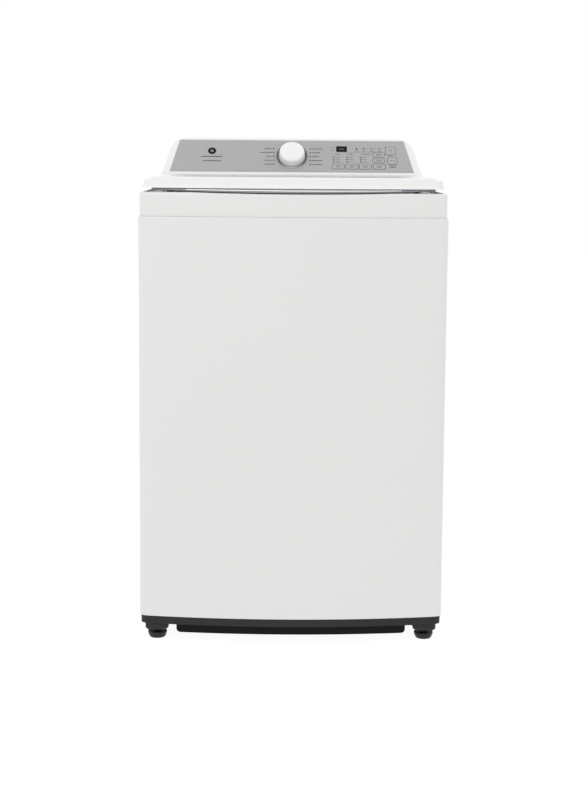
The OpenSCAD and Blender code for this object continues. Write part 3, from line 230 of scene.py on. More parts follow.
def lathe(name, profile, steps=64, centre=(0, 0, 0)):
    # the profile's (radius, height) points turned round a vertical axis
    x, y, z = centre
    piece = penStart(name, (x + profile[0][0], y, z + profile[0][1]))
    for here, there in zip(profile, profile[1:]):
        penLine(there[0] - here[0], 0, there[1] - here[1])
    bpy.ops.mesh.select_all(action="SELECT")
    bpy.ops.mesh.spin(steps=steps, dupli=False, angle=2 * math.pi, center=centre, axis=(0, 0, 1))
    recalc()
    objectMode()
    return piece


def flatRing(name, inner, outer, thickness, steps, centre=(0, 0, 0)):
    profile = [(inner, 0), (outer, 0), (outer, thickness), (inner, thickness), (inner, 0)]
    return lathe(name, profile, steps, centre)


def block(name, low, high):
    objectMode()
    bpy.ops.object.select_all(action="DESELECT")
    low, high = Vector(low), Vector(high)
    bpy.ops.mesh.primitive_cube_add(size=1, location=(low + high) / 2)
    piece = bpy.context.object
    piece.name = name
    piece.scale = high - low
    bpy.ops.object.transform_apply(location=True, rotation=True, scale=True)
    return piece


def rod(name, start, end, radius, sides=32):
    objectMode()
    bpy.ops.object.select_all(action="DESELECT")
    start, end = Vector(start), Vector(end)
    bpy.ops.mesh.primitive_cylinder_add(
        vertices=sides, radius=radius, depth=(end - start).length, location=(start + end) / 2
    )
    piece = bpy.context.object
    piece.name = name
    piece.rotation_euler = (end - start).to_track_quat("Z", "Y").to_euler()
    bpy.ops.object.transform_apply(location=True, rotation=True, scale=True)
    return piece


def place(piece, matrix):
    only(piece)
    piece.matrix_world = matrix
    bpy.ops.object.transform_apply(location=True, rotation=True, scale=True)
    return piece


def aboutTub(angle, z):
    # turned about the tub's axis at a height
    return Matrix.Translation((0, tubAxis.y, z)) @ Matrix.Rotation(angle, 4, "Z")


def toFace(piece, x=0.0, y=0.0, lift=0.0):
    # from flat on the floor to the slope of the control panel
    turn = Matrix.Translation(faceMiddle) @ Matrix.Rotation(faceTurn, 4, "X")
    return place(piece, turn @ Matrix.Translation((x, y, lift)))


def toBack(piece, x, y, z):
    # from flat on the floor to facing backwards
    return place(piece, Matrix.Translation((x, y, z)) @ Matrix.Rotation(math.radians(-90), 4, "X"))


def copyOf(piece, name, matrix=None):
    only(piece)
    bpy.ops.object.duplicate()
    twin = bpy.context.object
    twin.name = name
    if matrix is not None:
        place(twin, matrix)
    return twin


def join(name, pieces):
    objectMode()
    bpy.ops.object.select_all(action="DESELECT")
    for piece in pieces:
        piece.select_set(True)
    bpy.context.view_layer.objects.active = pieces[0]
    bpy.ops.object.join()
    pieces[0].name = name
    return pieces[0]


def modify(piece, kind, **settings):
    only(piece)
    modifier = piece.modifiers.new(kind.title(), kind)
    for setting, value in settings.items():
        setattr(modifier, setting, value)
    bpy.ops.object.modifier_apply(modifier=modifier.name)


def cut(piece, cutter, operation="DIFFERENCE"):
    modify(piece, "BOOLEAN", operation=operation, object=cutter, solver="EXACT")
    bpy.data.objects.remove(cutter)


def finish(piece, body, material, standsFor=(), edge=0.0, segments=2, angle=35):
    # rounds the edges, shades it and ties it to its body
    if edge:
        modify(
            piece, "BEVEL", width=edge, segments=segments, limit_method="ANGLE",
            angle_limit=math.radians(angle), use_clamp_overlap=True
        )
    only(piece)
    bpy.ops.object.shade_smooth_by_angle(angle=math.radians(angle))
    modify(piece, "WEIGHTED_NORMAL", keep_sharp=True)
    piece.data.materials.clear()
    piece.data.materials.append(material)
    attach(piece, body)
    if standsFor:
        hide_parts(*standsFor)
    return piece


def newMaterial(name, colour, roughness, metallic=0.0, **sockets):
    material = bpy.data.materials.new(name)
    material.use_nodes = True
    shader = material.node_tree.nodes["Principled BSDF"]
    shader.inputs["Base Color"].default_value = (*colour, 1)
    shader.inputs["Roughness"].default_value = roughness
    shader.inputs["Metallic"].default_value = metallic
    for socket, value in sockets.items():
        shader.inputs[socket.replace("_", " ")].default_value = value
    return material


def addNode(material, kind, **inputs):
    node = material.node_tree.nodes.new(kind)
    for socket, value in inputs.items():
        node.inputs[socket.replace("_", " ")].default_value = value
    return node


def objectPoints(material, stretch=(1, 1, 1)):
    nodes = material.node_tree
    coordinates = addNode(material, "ShaderNodeTexCoord")
    mapping = addNode(material, "ShaderNodeMapping", Scale=stretch)
    nodes.links.new(coordinates.outputs["Object"], mapping.inputs["Vector"])
    return mapping.outputs["Vector"]


def noise(material, scale, detail=3.0, stretch=(1, 1, 1)):
    node = addNode(material, "ShaderNodeTexNoise", Scale=scale, Detail=detail)
    material.node_tree.links.new(objectPoints(material, stretch), node.inputs["Vector"])
    return node.outputs["Fac"]


def spread(material, source, low, high):
    # a factor of about 0.3 to 0.7 stretched to a range of values
    node = addNode(material, "ShaderNodeMapRange")
    node.inputs["From Min"].default_value = 0.3
    node.inputs["From Max"].default_value = 0.7
    node.inputs["To Min"].default_value = low
    node.inputs["To Max"].default_value = high
    material.node_tree.links.new(source, node.inputs["Value"])
    return node.outputs["Result"]


def tint(material, source, low, high):
    node = material.node_tree.nodes.new("ShaderNodeValToRGB")
    node.color_ramp.elements[0].position = 0.3
    node.color_ramp.elements[1].position = 0.7
    node.color_ramp.elements[0].color = (*low, 1)
    node.color_ramp.elements[1].color = (*high, 1)
    shader = material.node_tree.nodes["Principled BSDF"]
    material.node_tree.links.new(source, node.inputs["Fac"])
    material.node_tree.links.new(node.outputs["Color"], shader.inputs["Base Color"])


def roughen(material, source, low, high):
    shader = material.node_tree.nodes["Principled BSDF"]
    material.node_tree.links.new(spread(material, source, low, high), shader.inputs["Roughness"])


def emboss(material, source, depth, strength=1.0, under=None):
    shader = material.node_tree.nodes["Principled BSDF"]
    node = addNode(material, "ShaderNodeBump", Strength=strength, Distance=depth)
    material.node_tree.links.new(source, node.inputs["Height"])
    if under is not None:
        material.node_tree.links.new(under, node.inputs["Normal"])
    material.node_tree.links.new(node.outputs["Normal"], shader.inputs["Normal"])
    return node.outputs["Normal"]


def shades(colour, share):
    return tuple(c * (1 - share) for c in colour), tuple(min(1, c * (1 + share)) for c in colour)


def makeEnamel():
    # stove enamel on steel: faint orange peel under a clear gloss
    look = {"colour": (0.69, 0.69, 0.683), "gloss": (0.2, 0.27), "peel": 260, "depth": 0.00002}
    material = newMaterial("whiteEnamel", look["colour"], 0.24, Coat_Weight=0.35, Coat_Roughness=0.06)
    tint(material, noise(material, 2.2, 4), *shades(look["colour"], 0.006))
    roughen(material, noise(material, 14, 4), *look["gloss"])
    emboss(material, noise(material, look["peel"], 2), look["depth"], 0.4)
    return material


def makeWhitePlastic(name="whitePlastic", colour=(0.77, 0.77, 0.762)):
    # glossy moulded plastic, with the faint flow marks of a large moulding
    material = newMaterial(name, colour, 0.22, Coat_Weight=0.2, Coat_Roughness=0.1)
    tint(material, noise(material, 3, 4, (1, 2.5, 1)), *shades(colour, 0.007))
    roughen(material, noise(material, 30, 4), 0.19, 0.27)
    emboss(material, noise(material, 900, 2), 0.00001, 0.35)
    return material


def makeGrained(name, colour, gloss, grain=1500, depth=0.00006, share=0.06, coat=0.0, shine=0.35):
    # moulded plastic with a fine spark-eroded grain
    material = newMaterial(name, colour, gloss[0], Coat_Weight=coat, Coat_Roughness=0.3,
                           Specular_IOR_Level=shine)
    tint(material, noise(material, 18, 5), *shades(colour, share))
    roughen(material, noise(material, 60, 4), *gloss)
    fine = emboss(material, noise(material, grain, 3), depth, 0.6)
    emboss(material, noise(material, 40, 2), 0.0002, 0.1, fine)
    return material


def makeBrushed(name, colour, gloss, stretch, share=0.08, depth=0.00003):
    # metal drawn or brushed along one way
    material = newMaterial(name, colour, gloss[0], 1.0)
    streaks = noise(material, 60, 6, stretch)
    tint(material, streaks, *shades(colour, share))
    roughen(material, noise(material, 45, 5, stretch), *gloss)
    emboss(material, streaks, depth, 0.5)
    return material


def makeRingWithPaintedReflection():
    # a turned ring under a smoked lacquer, with a painted reflection: highlight painted above and below, shade
    # painted at its sides
    # dark is the painted shade of the ring's sides, light the painted highlight above and below
    look = {"dark": (0.1, 0.11, 0.125), "light": (0.5, 0.51, 0.52), "radius": 0.039}
    material = newMaterial("turnedRingPaintedReflection", look["dark"], 0.2, 0.2, Coat_Weight=0.3, Coat_Roughness=0.1)
    nodes = material.node_tree
    # the painted reflection: colour set by how far across from the middle a point lies, light in the middle and
    # dark at the sides
    parts = addNode(material, "ShaderNodeSeparateXYZ")
    nodes.links.new(objectPoints(material), parts.inputs["Vector"])
    side = addNode(material, "ShaderNodeMath")
    side.operation = "ABSOLUTE"
    nodes.links.new(parts.outputs["X"], side.inputs[0])
    share = addNode(material, "ShaderNodeMapRange")
    share.inputs["From Max"].default_value = look["radius"]
    share.inputs["To Min"].default_value = 0.85
    share.inputs["To Max"].default_value = 0.15
    nodes.links.new(side.outputs["Value"], share.inputs["Value"])
    tint(material, share.outputs["Result"], look["dark"], look["light"])
    roughen(material, noise(material, 300, 3), 0.16, 0.3)
    emboss(material, noise(material, 900, 2), 0.00002, 0.4)
    return material


def makeGalvanised():
    # hot dipped zinc: a spangle of flat crystals
    look = {"colour": (0.5, 0.515, 0.525), "spangle": 240, "gloss": (0.3, 0.42)}
    material = newMaterial("galvanisedSheet", look["colour"], 0.4, 0.9)
    crystals = addNode(material, "ShaderNodeTexVoronoi", Scale=look["spangle"])
    material.node_tree.links.new(objectPoints(material), crystals.inputs["Vector"])
    grey = addNode(material, "ShaderNodeSeparateColor")
    material.node_tree.links.new(crystals.outputs["Color"], grey.inputs["Color"])
    tint(material, grey.outputs["Red"], *shades(look["colour"], 0.05))
    roughen(material, grey.outputs["Green"], *look["gloss"])
    emboss(material, noise(material, 500, 3), 0.00003, 0.4)
    return material


def makeGlass():
    look = {"colour": (0.055, 0.062, 0.066), "clear": 0.7}
    material = newMaterial(
        "smokedGlass", look["colour"], 0.03, IOR=1.5, Alpha=look["clear"], Coat_Weight=1.0,
        Coat_Roughness=0.02
    )
    roughen(material, noise(material, 9, 3), 0.02, 0.06)
    return material


def makeSmokedTrim():
    # a vacuum metallised strip under a smoked lacquer
    look = {"colour": (0.27, 0.29, 0.31), "gloss": (0.1, 0.18)}
    material = newMaterial("smokedTrim", look["colour"], 0.12, 0.85, Coat_Weight=0.6, Coat_Roughness=0.04)
    tint(material, noise(material, 30, 3, (0.15, 1, 1)), *shades(look["colour"], 0.05))
    roughen(material, noise(material, 80, 3, (0.1, 1, 1)), *look["gloss"])
    return material


enamel = makeEnamel()
whitePlastic = makeWhitePlastic()
coverPlastic = makeWhitePlastic("coverPlastic", (0.7, 0.7, 0.692))
knobPlastic = makeWhitePlastic("knobPlastic", (0.81, 0.81, 0.802))
basePlastic = makeGrained("basePlastic", (0.023, 0.023, 0.024), (0.42, 0.6), shine=0.2)
skirtPlastic = makeGrained("skirtPlastic", (0.004, 0.004, 0.0042), (0.35, 0.5), shine=0.12)
blackPlastic = makeGrained("blackPlastic", (0.02, 0.02, 0.021), (0.38, 0.55))
panelPaint = makeGrained("panelPaint", (0.376, 0.378, 0.378), (0.4, 0.48), 2200, 0.00003, 0.018)
buttonPaint = makeGrained("buttonPaint", (0.386, 0.389, 0.389), (0.33, 0.42), 2200, 0.00002, 0.02)
darkInk = makeGrained("darkInk", (0.042, 0.046, 0.053), (0.45, 0.55), 2500, 0.00001, 0.1)
paleInk = makeGrained("paleInk", (0.7, 0.71, 0.71), (0.4, 0.5), 2500, 0.00001, 0.05)
# ink for the printed lines, which also paints the shade of the gaps round the keys
lineInkAndPaintedGapShade = makeGrained("lineInkAndPaintedGapShade", (0.11, 0.117, 0.125), (0.45, 0.55), 2500, 0.00001, 0.1)
ringPaintedReflection = makeRingWithPaintedReflection()
polish = makeBrushed("polishedBead", (0.93, 0.93, 0.92), (0.3, 0.4), (0.05, 1, 1), 0.04, 0.00001)
lampPlastic = makeGrained("lampPlastic", (0.035, 0.038, 0.042), (0.2, 0.3), 900, 0.00001, 0.05, 0.5)
displayPlastic = makeGrained("displayPlastic", (0.004, 0.004, 0.005), (0.06, 0.12), 600, 0.000004, 0.2,
                             shine=0.12)
legPaint = makeGrained("legPaint", (0.01, 0.01, 0.011), (0.25, 0.45), 800, 0.00008, 0.12, shine=0.3)
rubber = makeGrained("mouldedRubber", (0.022, 0.022, 0.022), (0.6, 0.8), 700, 0.0001, 0.15)
hoseRubber = makeGrained("hoseRubber", (0.16, 0.165, 0.17), (0.5, 0.65), 600, 0.0001, 0.08)
tubPlastic = makeGrained("tubPlastic", (0.47, 0.5, 0.52), (0.35, 0.5), 500, 0.0001, 0.04)
washPlastic = makeGrained("washPlastic", (0.7, 0.73, 0.75), (0.25, 0.35), 700, 0.00004, 0.02, 0.2)
valvePlastic = makeGrained("valvePlastic", (0.66, 0.67, 0.66), (0.4, 0.55), 800, 0.00006, 0.04)
boardGreen = makeGrained("boardGreen", (0.02, 0.13, 0.06), (0.25, 0.4), 900, 0.00003, 0.15)
motorPaint = makeGrained("motorPaint", (0.045, 0.047, 0.05), (0.35, 0.55), 500, 0.00015, 0.12)
castAluminium = makeGrained("castAluminium", (0.5, 0.51, 0.52), (0.4, 0.6), 350, 0.0003, 0.1)
castAluminium.node_tree.nodes["Principled BSDF"].inputs["Metallic"].default_value = 1.0
zincSteel = makeBrushed("zincSteel", (0.58, 0.59, 0.58), (0.25, 0.42), (1, 1, 0.2))
springSteel = makeBrushed("springSteel", (0.2, 0.205, 0.21), (0.3, 0.45), (1, 1, 1), 0.15)
stainless = makeBrushed("stainlessSteel", (0.62, 0.62, 0.61), (0.2, 0.32), (0.3, 0.3, 9))
galvanised = makeGalvanised()
glass = makeGlass()
smokedTrim = makeSmokedTrim()
print("materials made")


def makeCamera():
    view = {"place": (-0.0361, -3.8728, 1.0191), "turn": 0.641, "down": 7.497, "roll": 0.42, "lens": 72.52}
    turn, down, roll = (math.radians(view[key]) for key in ("turn", "down", "roll"))
    ahead = Vector((math.sin(turn) * math.cos(down), math.cos(turn) * math.cos(down), -math.sin(down)))
    level = Vector((math.cos(turn), -math.sin(turn), 0))
    upright = level.cross(ahead)
    right = math.cos(roll) * level + math.sin(roll) * upright
    up = math.cos(roll) * upright - math.sin(roll) * level
    data = bpy.data.cameras.new("camera")
    data.lens = view["lens"]
    data.sensor_width = 36
    camera = bpy.data.objects.new("camera", data)
    bpy.context.scene.collection.objects.link(camera)
    axes = Matrix((right, up, -ahead)).transposed().to_4x4()
    camera.matrix_world = Matrix.Translation(view["place"]) @ axes
    bpy.context.scene.camera = camera


def addLight(name, place, aim, size, power, colour=(1, 1, 1)):
    data = bpy.data.lights.new(name, "AREA")
    data.shape = "RECTANGLE"
    data.size, data.size_y = size
    data.energy = power
    data.color = colour
    light = bpy.data.objects.new(name, data)
    bpy.context.scene.collection.objects.link(light)
    light.location = place
    light.rotation_euler = (Vector(aim) - Vector(place)).to_track_quat("-Z", "Y").to_euler()


def makeStudio():
    studio = {"sky": 1.0, "floorGlow": 0.95}
    world = bpy.data.worlds.new("studio")
    world.use_nodes = True
    world.node_tree.nodes["Background"].inputs["Color"].default_value = (1, 1, 1, 1)
    world.node_tree.nodes["Background"].inputs["Strength"].default_value = studio["sky"]
    bpy.context.scene.world = world
    bpy.context.scene.view_settings.view_transform = "Standard"
    addLight("keyLight", (-1.9, -2.6, 3.0), (0, -0.2, 0.7), (2.0, 1.6), 16)
    addLight("topLight", (0.3, -0.6, 3.4), (0, -0.1, 1.0), (2.2, 2.2), 5)
    addLight("sideLight", (2.8, -1.6, 1.5), (0.2, 0, 0.7), (0.7, 2.4), 0.6)
    floor = block("floor", (-20, -20, -0.02), (20, 20, 0))
    paper = newMaterial("palePaper", (0.07, 0.07, 0.07), 0.95)
    paper.node_tree.nodes["Principled BSDF"].inputs["Emission Color"].default_value = (1, 1, 1, 1)
    paper.node_tree.nodes["Principled BSDF"].inputs["Emission Strength"].default_value = studio["floorGlow"]
    emboss(paper, noise(paper, 300, 3), 0.0001, 0.2)
    floor.data.materials.append(paper)


makeCamera()
makeStudio()
print("camera and studio made")


def buildCabinet():
    sheet = {"thickness": 1 * mm, "fold": 2.5 * mm, "flange": 26 * mm, "rearBar": 62 * mm, "lip": 9 * mm}
    low, high = cabinetLow.z, cabinetHigh.z
    piece = drawBowed("cabinetSheet", 0, low, steps=28)
    extrude(0, 0, high - low)
    for z in (low, high):
        pick("EDGE", lambda e: all(abs(v.co.z - z) < 1e-5 for v in e.verts))
        bevel(sheet["fold"], 4)
        pick("FACE", lambda f: abs(f.normal.z) > 0.99 and abs(middle(f).z - z) < 1e-4)
        inset(sheet["flange"])
        bpy.ops.mesh.delete(type="FACE")
    # the service opening at the back, with a taller bar of steel above it
    pick("FACE", lambda f: f.normal.y > 0.99 and f.calc_area() > 0.3)
    inset(sheet["flange"])
    top = high - sheet["fold"] - sheet["flange"]
    pick("VERT", lambda v: v.co.y > backY - 1e-4 and abs(v.co.z - top) < 1e-4)
    bpy.ops.transform.translate(value=(0, 0, sheet["flange"] - sheet["rearBar"]))
    pick("FACE", lambda f: f.normal.y > 0.99 and f.calc_area() > 0.3)
    extrude(0, -sheet["lip"], 0)
    bpy.ops.mesh.delete(type="FACE")
    recalc()
    objectMode()
    modify(piece, "SOLIDIFY", thickness=sheet["thickness"], offset=-1)
    # gussets in the four upper corners carry the heads of the suspension rods
    rodLow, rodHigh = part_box("suspension_rods")
    seats = []
    for sideX in (-1, 1):
        for y in (rodLow.y + 20 * mm, rodHigh.y - 20 * mm):
            x = sideX * (rodHigh.x - 20 * mm)
            wall = sideX * (halfWidth - 2 * mm)
            seat = block("gusset", (min(x - sideX * 30 * mm, wall), y - 32 * mm, rodHigh.z - 15 * mm),
                         (max(x - sideX * 30 * mm, wall), y + 32 * mm, rodHigh.z - 12 * mm))
            cut(seat, rod("hole", (x, y, rodHigh.z - 0.05), (x, y, rodHigh.z + 0.05), 5 * mm))
            seats.append(seat)
    piece = join("cabinetSheet", [piece] + seats)
    cutPorts(piece)
    finish(piece, "root", enamel, ["cabinet"])
    print("cabinet built")


def cutPorts(piece):
    for name in ("cold", "hot", "drain", "cord"):
        x, z, radius = portPlace(name)
        cut(piece, rod("hole", (x, backY - 0.02, z), (x, backY + 0.02, z), radius))


def portPlace(name):
    # a port's place and the radius of its hole in the steel
    mounts = {mount["name"]: mount for mount in frame["record"]["mounts"]}
    found = {"cold": "cold_water_inlet", "hot": "hot_water_inlet", "drain": "drain_outlet",
             "cord": "cord_hole"}
    mount = mounts[found[name]]
    extra = 4 * mm if name == "cord" else 1 * mm
    return mount["pos_m"][0], mount["pos_m"][2], mount["dims"]["r_mm"] * mm + extra


def buildRearPanel():
    panel = {"thickness": 1 * mm, "ribWidth": 150 * mm, "ribEdge": 3.5 * mm, "ribRise": 3.4 * mm}
    low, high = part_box("rear_panel")
    size = (high.x - low.x, high.z - low.z)
    sheet = slab(panel["thickness"], "rearPanel", (0, 0), size, 6 * mm)
    parts = [sheet]
    for share in (-0.3, 0, 0.3):
        rib = drawRounded("rib", (share * size[0], 0), (panel["ribWidth"], size[1] - 120 * mm), 30 * mm,
                          panel["thickness"] - 0.2 * mm, 8)
        extrude(0, 0, 0.3 * mm)
        inset(panel["ribEdge"] * 0.4, panel["ribRise"] * 0.75)
        inset(panel["ribEdge"] * 0.6, panel["ribRise"] * 0.25)
        recalc()
        parts.append(rib)
        for side in (-1, 1):
            groove = drawRounded("rib", (share * size[0] + side * 34 * mm, 0),
                                 (16 * mm, size[1] - 240 * mm), 8 * mm,
                                 panel["thickness"] + panel["ribRise"] - 0.3 * mm, 6)
            extrude(0, 0, 0.4 * mm)
            inset(2 * mm, 0.5 * mm)
            recalc()
            parts.append(groove)
    piece = join("rearPanel", parts)
    toBack(piece, 0, low.y, (low.z + high.z) / 2)
    finish(piece, "root", galvanised, ["rear_panel"])


def buildBase():
    base = {"inset": 3 * mm, "wall": 3 * mm, "socket": 52 * mm, "opening": 215 * mm, "ribs": 24}
    low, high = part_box("base_frame")
    rimLow = cabinetLow.z - 18 * mm
    rim = drawBowed("baseFrame", base["inset"], rimLow)
    extrude(0, 0, high.z - rimLow)
    pick("EDGE", lambda e: all(abs(v.co.z - rimLow) < 1e-5 for v in e.verts))
    bevel(1.5 * mm, 3)
    pick("FACE", lambda f: abs(f.normal.z) > 0.99 and f.calc_area() > 0.1)
    bpy.ops.mesh.delete(type="FACE")
    recalc()
    objectMode()
    modify(rim, "SOLIDIFY", thickness=base["wall"], offset=-1)
    floor = drawBowed("floorPan", base["inset"] + base["wall"] / 2, rimLow + 3 * mm)
    extrude(0, 0, base["wall"])
    recalc()
    cut(floor, rod("hole", (0, tubAxis.y, 0), (0, tubAxis.y, 0.2), base["opening"], 96))
    ring = lathe("ring", [(base["opening"], 3 * mm), (base["opening"] + 3 * mm, 3 * mm),
                          (base["opening"] + 3 * mm, 15 * mm), (base["opening"], 15 * mm),
                          (base["opening"], 3 * mm)],
                 96, (0, tubAxis.y, rimLow))
    parts = [rim, floor, ring]
    for index in range(base["ribs"]):
        turn = 2 * math.pi * index / base["ribs"]
        reach = min(0.318 / max(abs(math.cos(turn)), abs(math.sin(turn))), 0.36)
        rib = block("rib", (base["opening"], -1.2 * mm, 0), (reach, 1.2 * mm, 9 * mm))
        parts.append(place(rib, aboutTub(turn, rimLow + 5 * mm)))
    for body in ("front_left", "front_right", "rear_left", "rear_right"):
        legLow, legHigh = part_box("leveling_leg_" + body)
        x, y = (legLow.x + legHigh.x) / 2, (legLow.y + legHigh.y) / 2
        socket = drawRounded("socket", (x, y), (base["socket"], base["socket"]), 8 * mm, low.z + 5 * mm, 6)
        extrude(0, 0, high.z - low.z - 5 * mm)
        pick("FACE", lambda f: f.normal.z < -0.9 or abs(middle(f).z - low.z - 5 * mm) < 1e-5
             and abs(f.normal.z) > 0.9)
        inset(5 * mm, 5 * mm)
        recalc()
        cut(socket, rod("hole", (x, y, 0), (x, y, 0.2), 5.4 * mm))
        parts.append(socket)
    piece = join("baseFrame", parts)
    finish(piece, "root", basePlastic, ["base_frame"], 0.6 * mm)
    print("base built")


def buildSkirt():
    low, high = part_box("front_skirt")
    skirt = {"inset": 6.2 * mm, "thickness": 3 * mm, "corner": 9 * mm}
    radius = bowRadius - skirt["inset"]
    apex = frontY + skirt["inset"]
    turn = math.asin((high.x + 2 * mm) / radius)
    piece = penStart("frontSkirt", (0, apex, low.z))
    penArc((0, apex + radius, low.z), turn, 20)
    bpy.ops.mesh.select_all(action="SELECT")
    bpy.ops.mesh.symmetrize(direction="POSITIVE_X")
    bpy.ops.mesh.select_all(action="SELECT")
    extrude(0, 0, 6 * mm)
    extrude(0, 0, high.z - low.z - 6 * mm)
    recalc()
    mesh = bmesh.from_edit_mesh(piece.data)
    if sum(face.normal.y for face in mesh.faces) > 0:
        bpy.ops.mesh.flip_normals()
    objectMode()
    modify(piece, "SOLIDIFY", thickness=skirt["thickness"], offset=-1)
    limit = slab(0.12, "limit", (0, 0), (high.x * 2, high.z - low.z + 20 * mm), skirt["corner"], 0, 6)
    toBack(limit, 0, apex - 0.02, (low.z + high.z + 20 * mm) / 2)
    cut(piece, limit, "INTERSECT")
    finish(piece, "root", skirtPlastic, ["front_skirt"], 0.8 * mm)


def buildLegs():
    leg = {"stud": 5 * mm, "pitch": 1.5 * mm, "thread": 0.8 * mm, "nut": 19.5 * mm}
    nuts = []
    for body in ("front_left", "front_right", "rear_left", "rear_right"):
        low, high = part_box("leveling_leg_" + body)
        x, y = (low.x + high.x) / 2, (low.y + high.y) / 2
        r = (high.x - low.x) / 2
        profile = [(0, 1 * mm), (r - 14 * mm, 1 * mm), (r - 13 * mm, 0), (r - 11 * mm, 0),
                   (r - 10 * mm, 1 * mm),
                   (r - 9 * mm, 0), (r - 7.5 * mm, 0), (r - 5 * mm, 1 * mm), (r - 3.4 * mm, 3 * mm),
                   (r - 1.6 * mm, 7 * mm), (r - 0.4 * mm, 11 * mm), (r, 13 * mm), (r - 0.4 * mm, 14.4 * mm),
                   (r - 1.4 * mm, 15 * mm), (leg["stud"] + 3 * mm, 15 * mm), (leg["stud"], 15 * mm)]
        count = int((high.z - 17 * mm) / leg["pitch"])
        for index in range(count):
            z = 16 * mm + index * leg["pitch"]
            profile += [(leg["stud"] - leg["thread"], z), (leg["stud"], z + leg["pitch"] / 2)]
        profile += [(leg["stud"] - 1.5 * mm, high.z), (0, high.z)]
        piece = lathe("levelingLeg_" + body, profile, 32, (x, y, 0))
        finish(piece, "leg_" + body, legPaint, ["leveling_leg_" + body], angle=28)
        nuts.append(buildLockNut(x, y, leg["nut"]))
    finish(join("legLockNuts", nuts), "root", legPaint, ["leg_lock_nuts"], 0.5 * mm)
    print("skirt and legs built")


def buildLockNut(x, y, radius):
    # a hex nut under a wide washer flange
    low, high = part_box("leg_lock_nuts")
    hex = rod("lockNut", (x, y, low.z), (x, y, high.z - 2 * mm), 9.5 * mm, 6)
    flange = lathe("flange", [(5 * mm, 4.4 * mm), (radius - 2 * mm, 4.4 * mm), (radius, 5 * mm),
                              (radius, 6.6 * mm),
                              (5 * mm, 6.6 * mm), (5 * mm, 4.4 * mm)], 32, (x, y, low.z - 0.2 * mm))
    cut(hex, rod("hole", (x, y, 0), (x, y, 0.05), 5.2 * mm, 24))
    return join("lockNut", [hex, flange])


def riseAt(y):
    # how far the sloping top stands above its front edge
    return (y - frontY) * math.tan(plan["slope"])


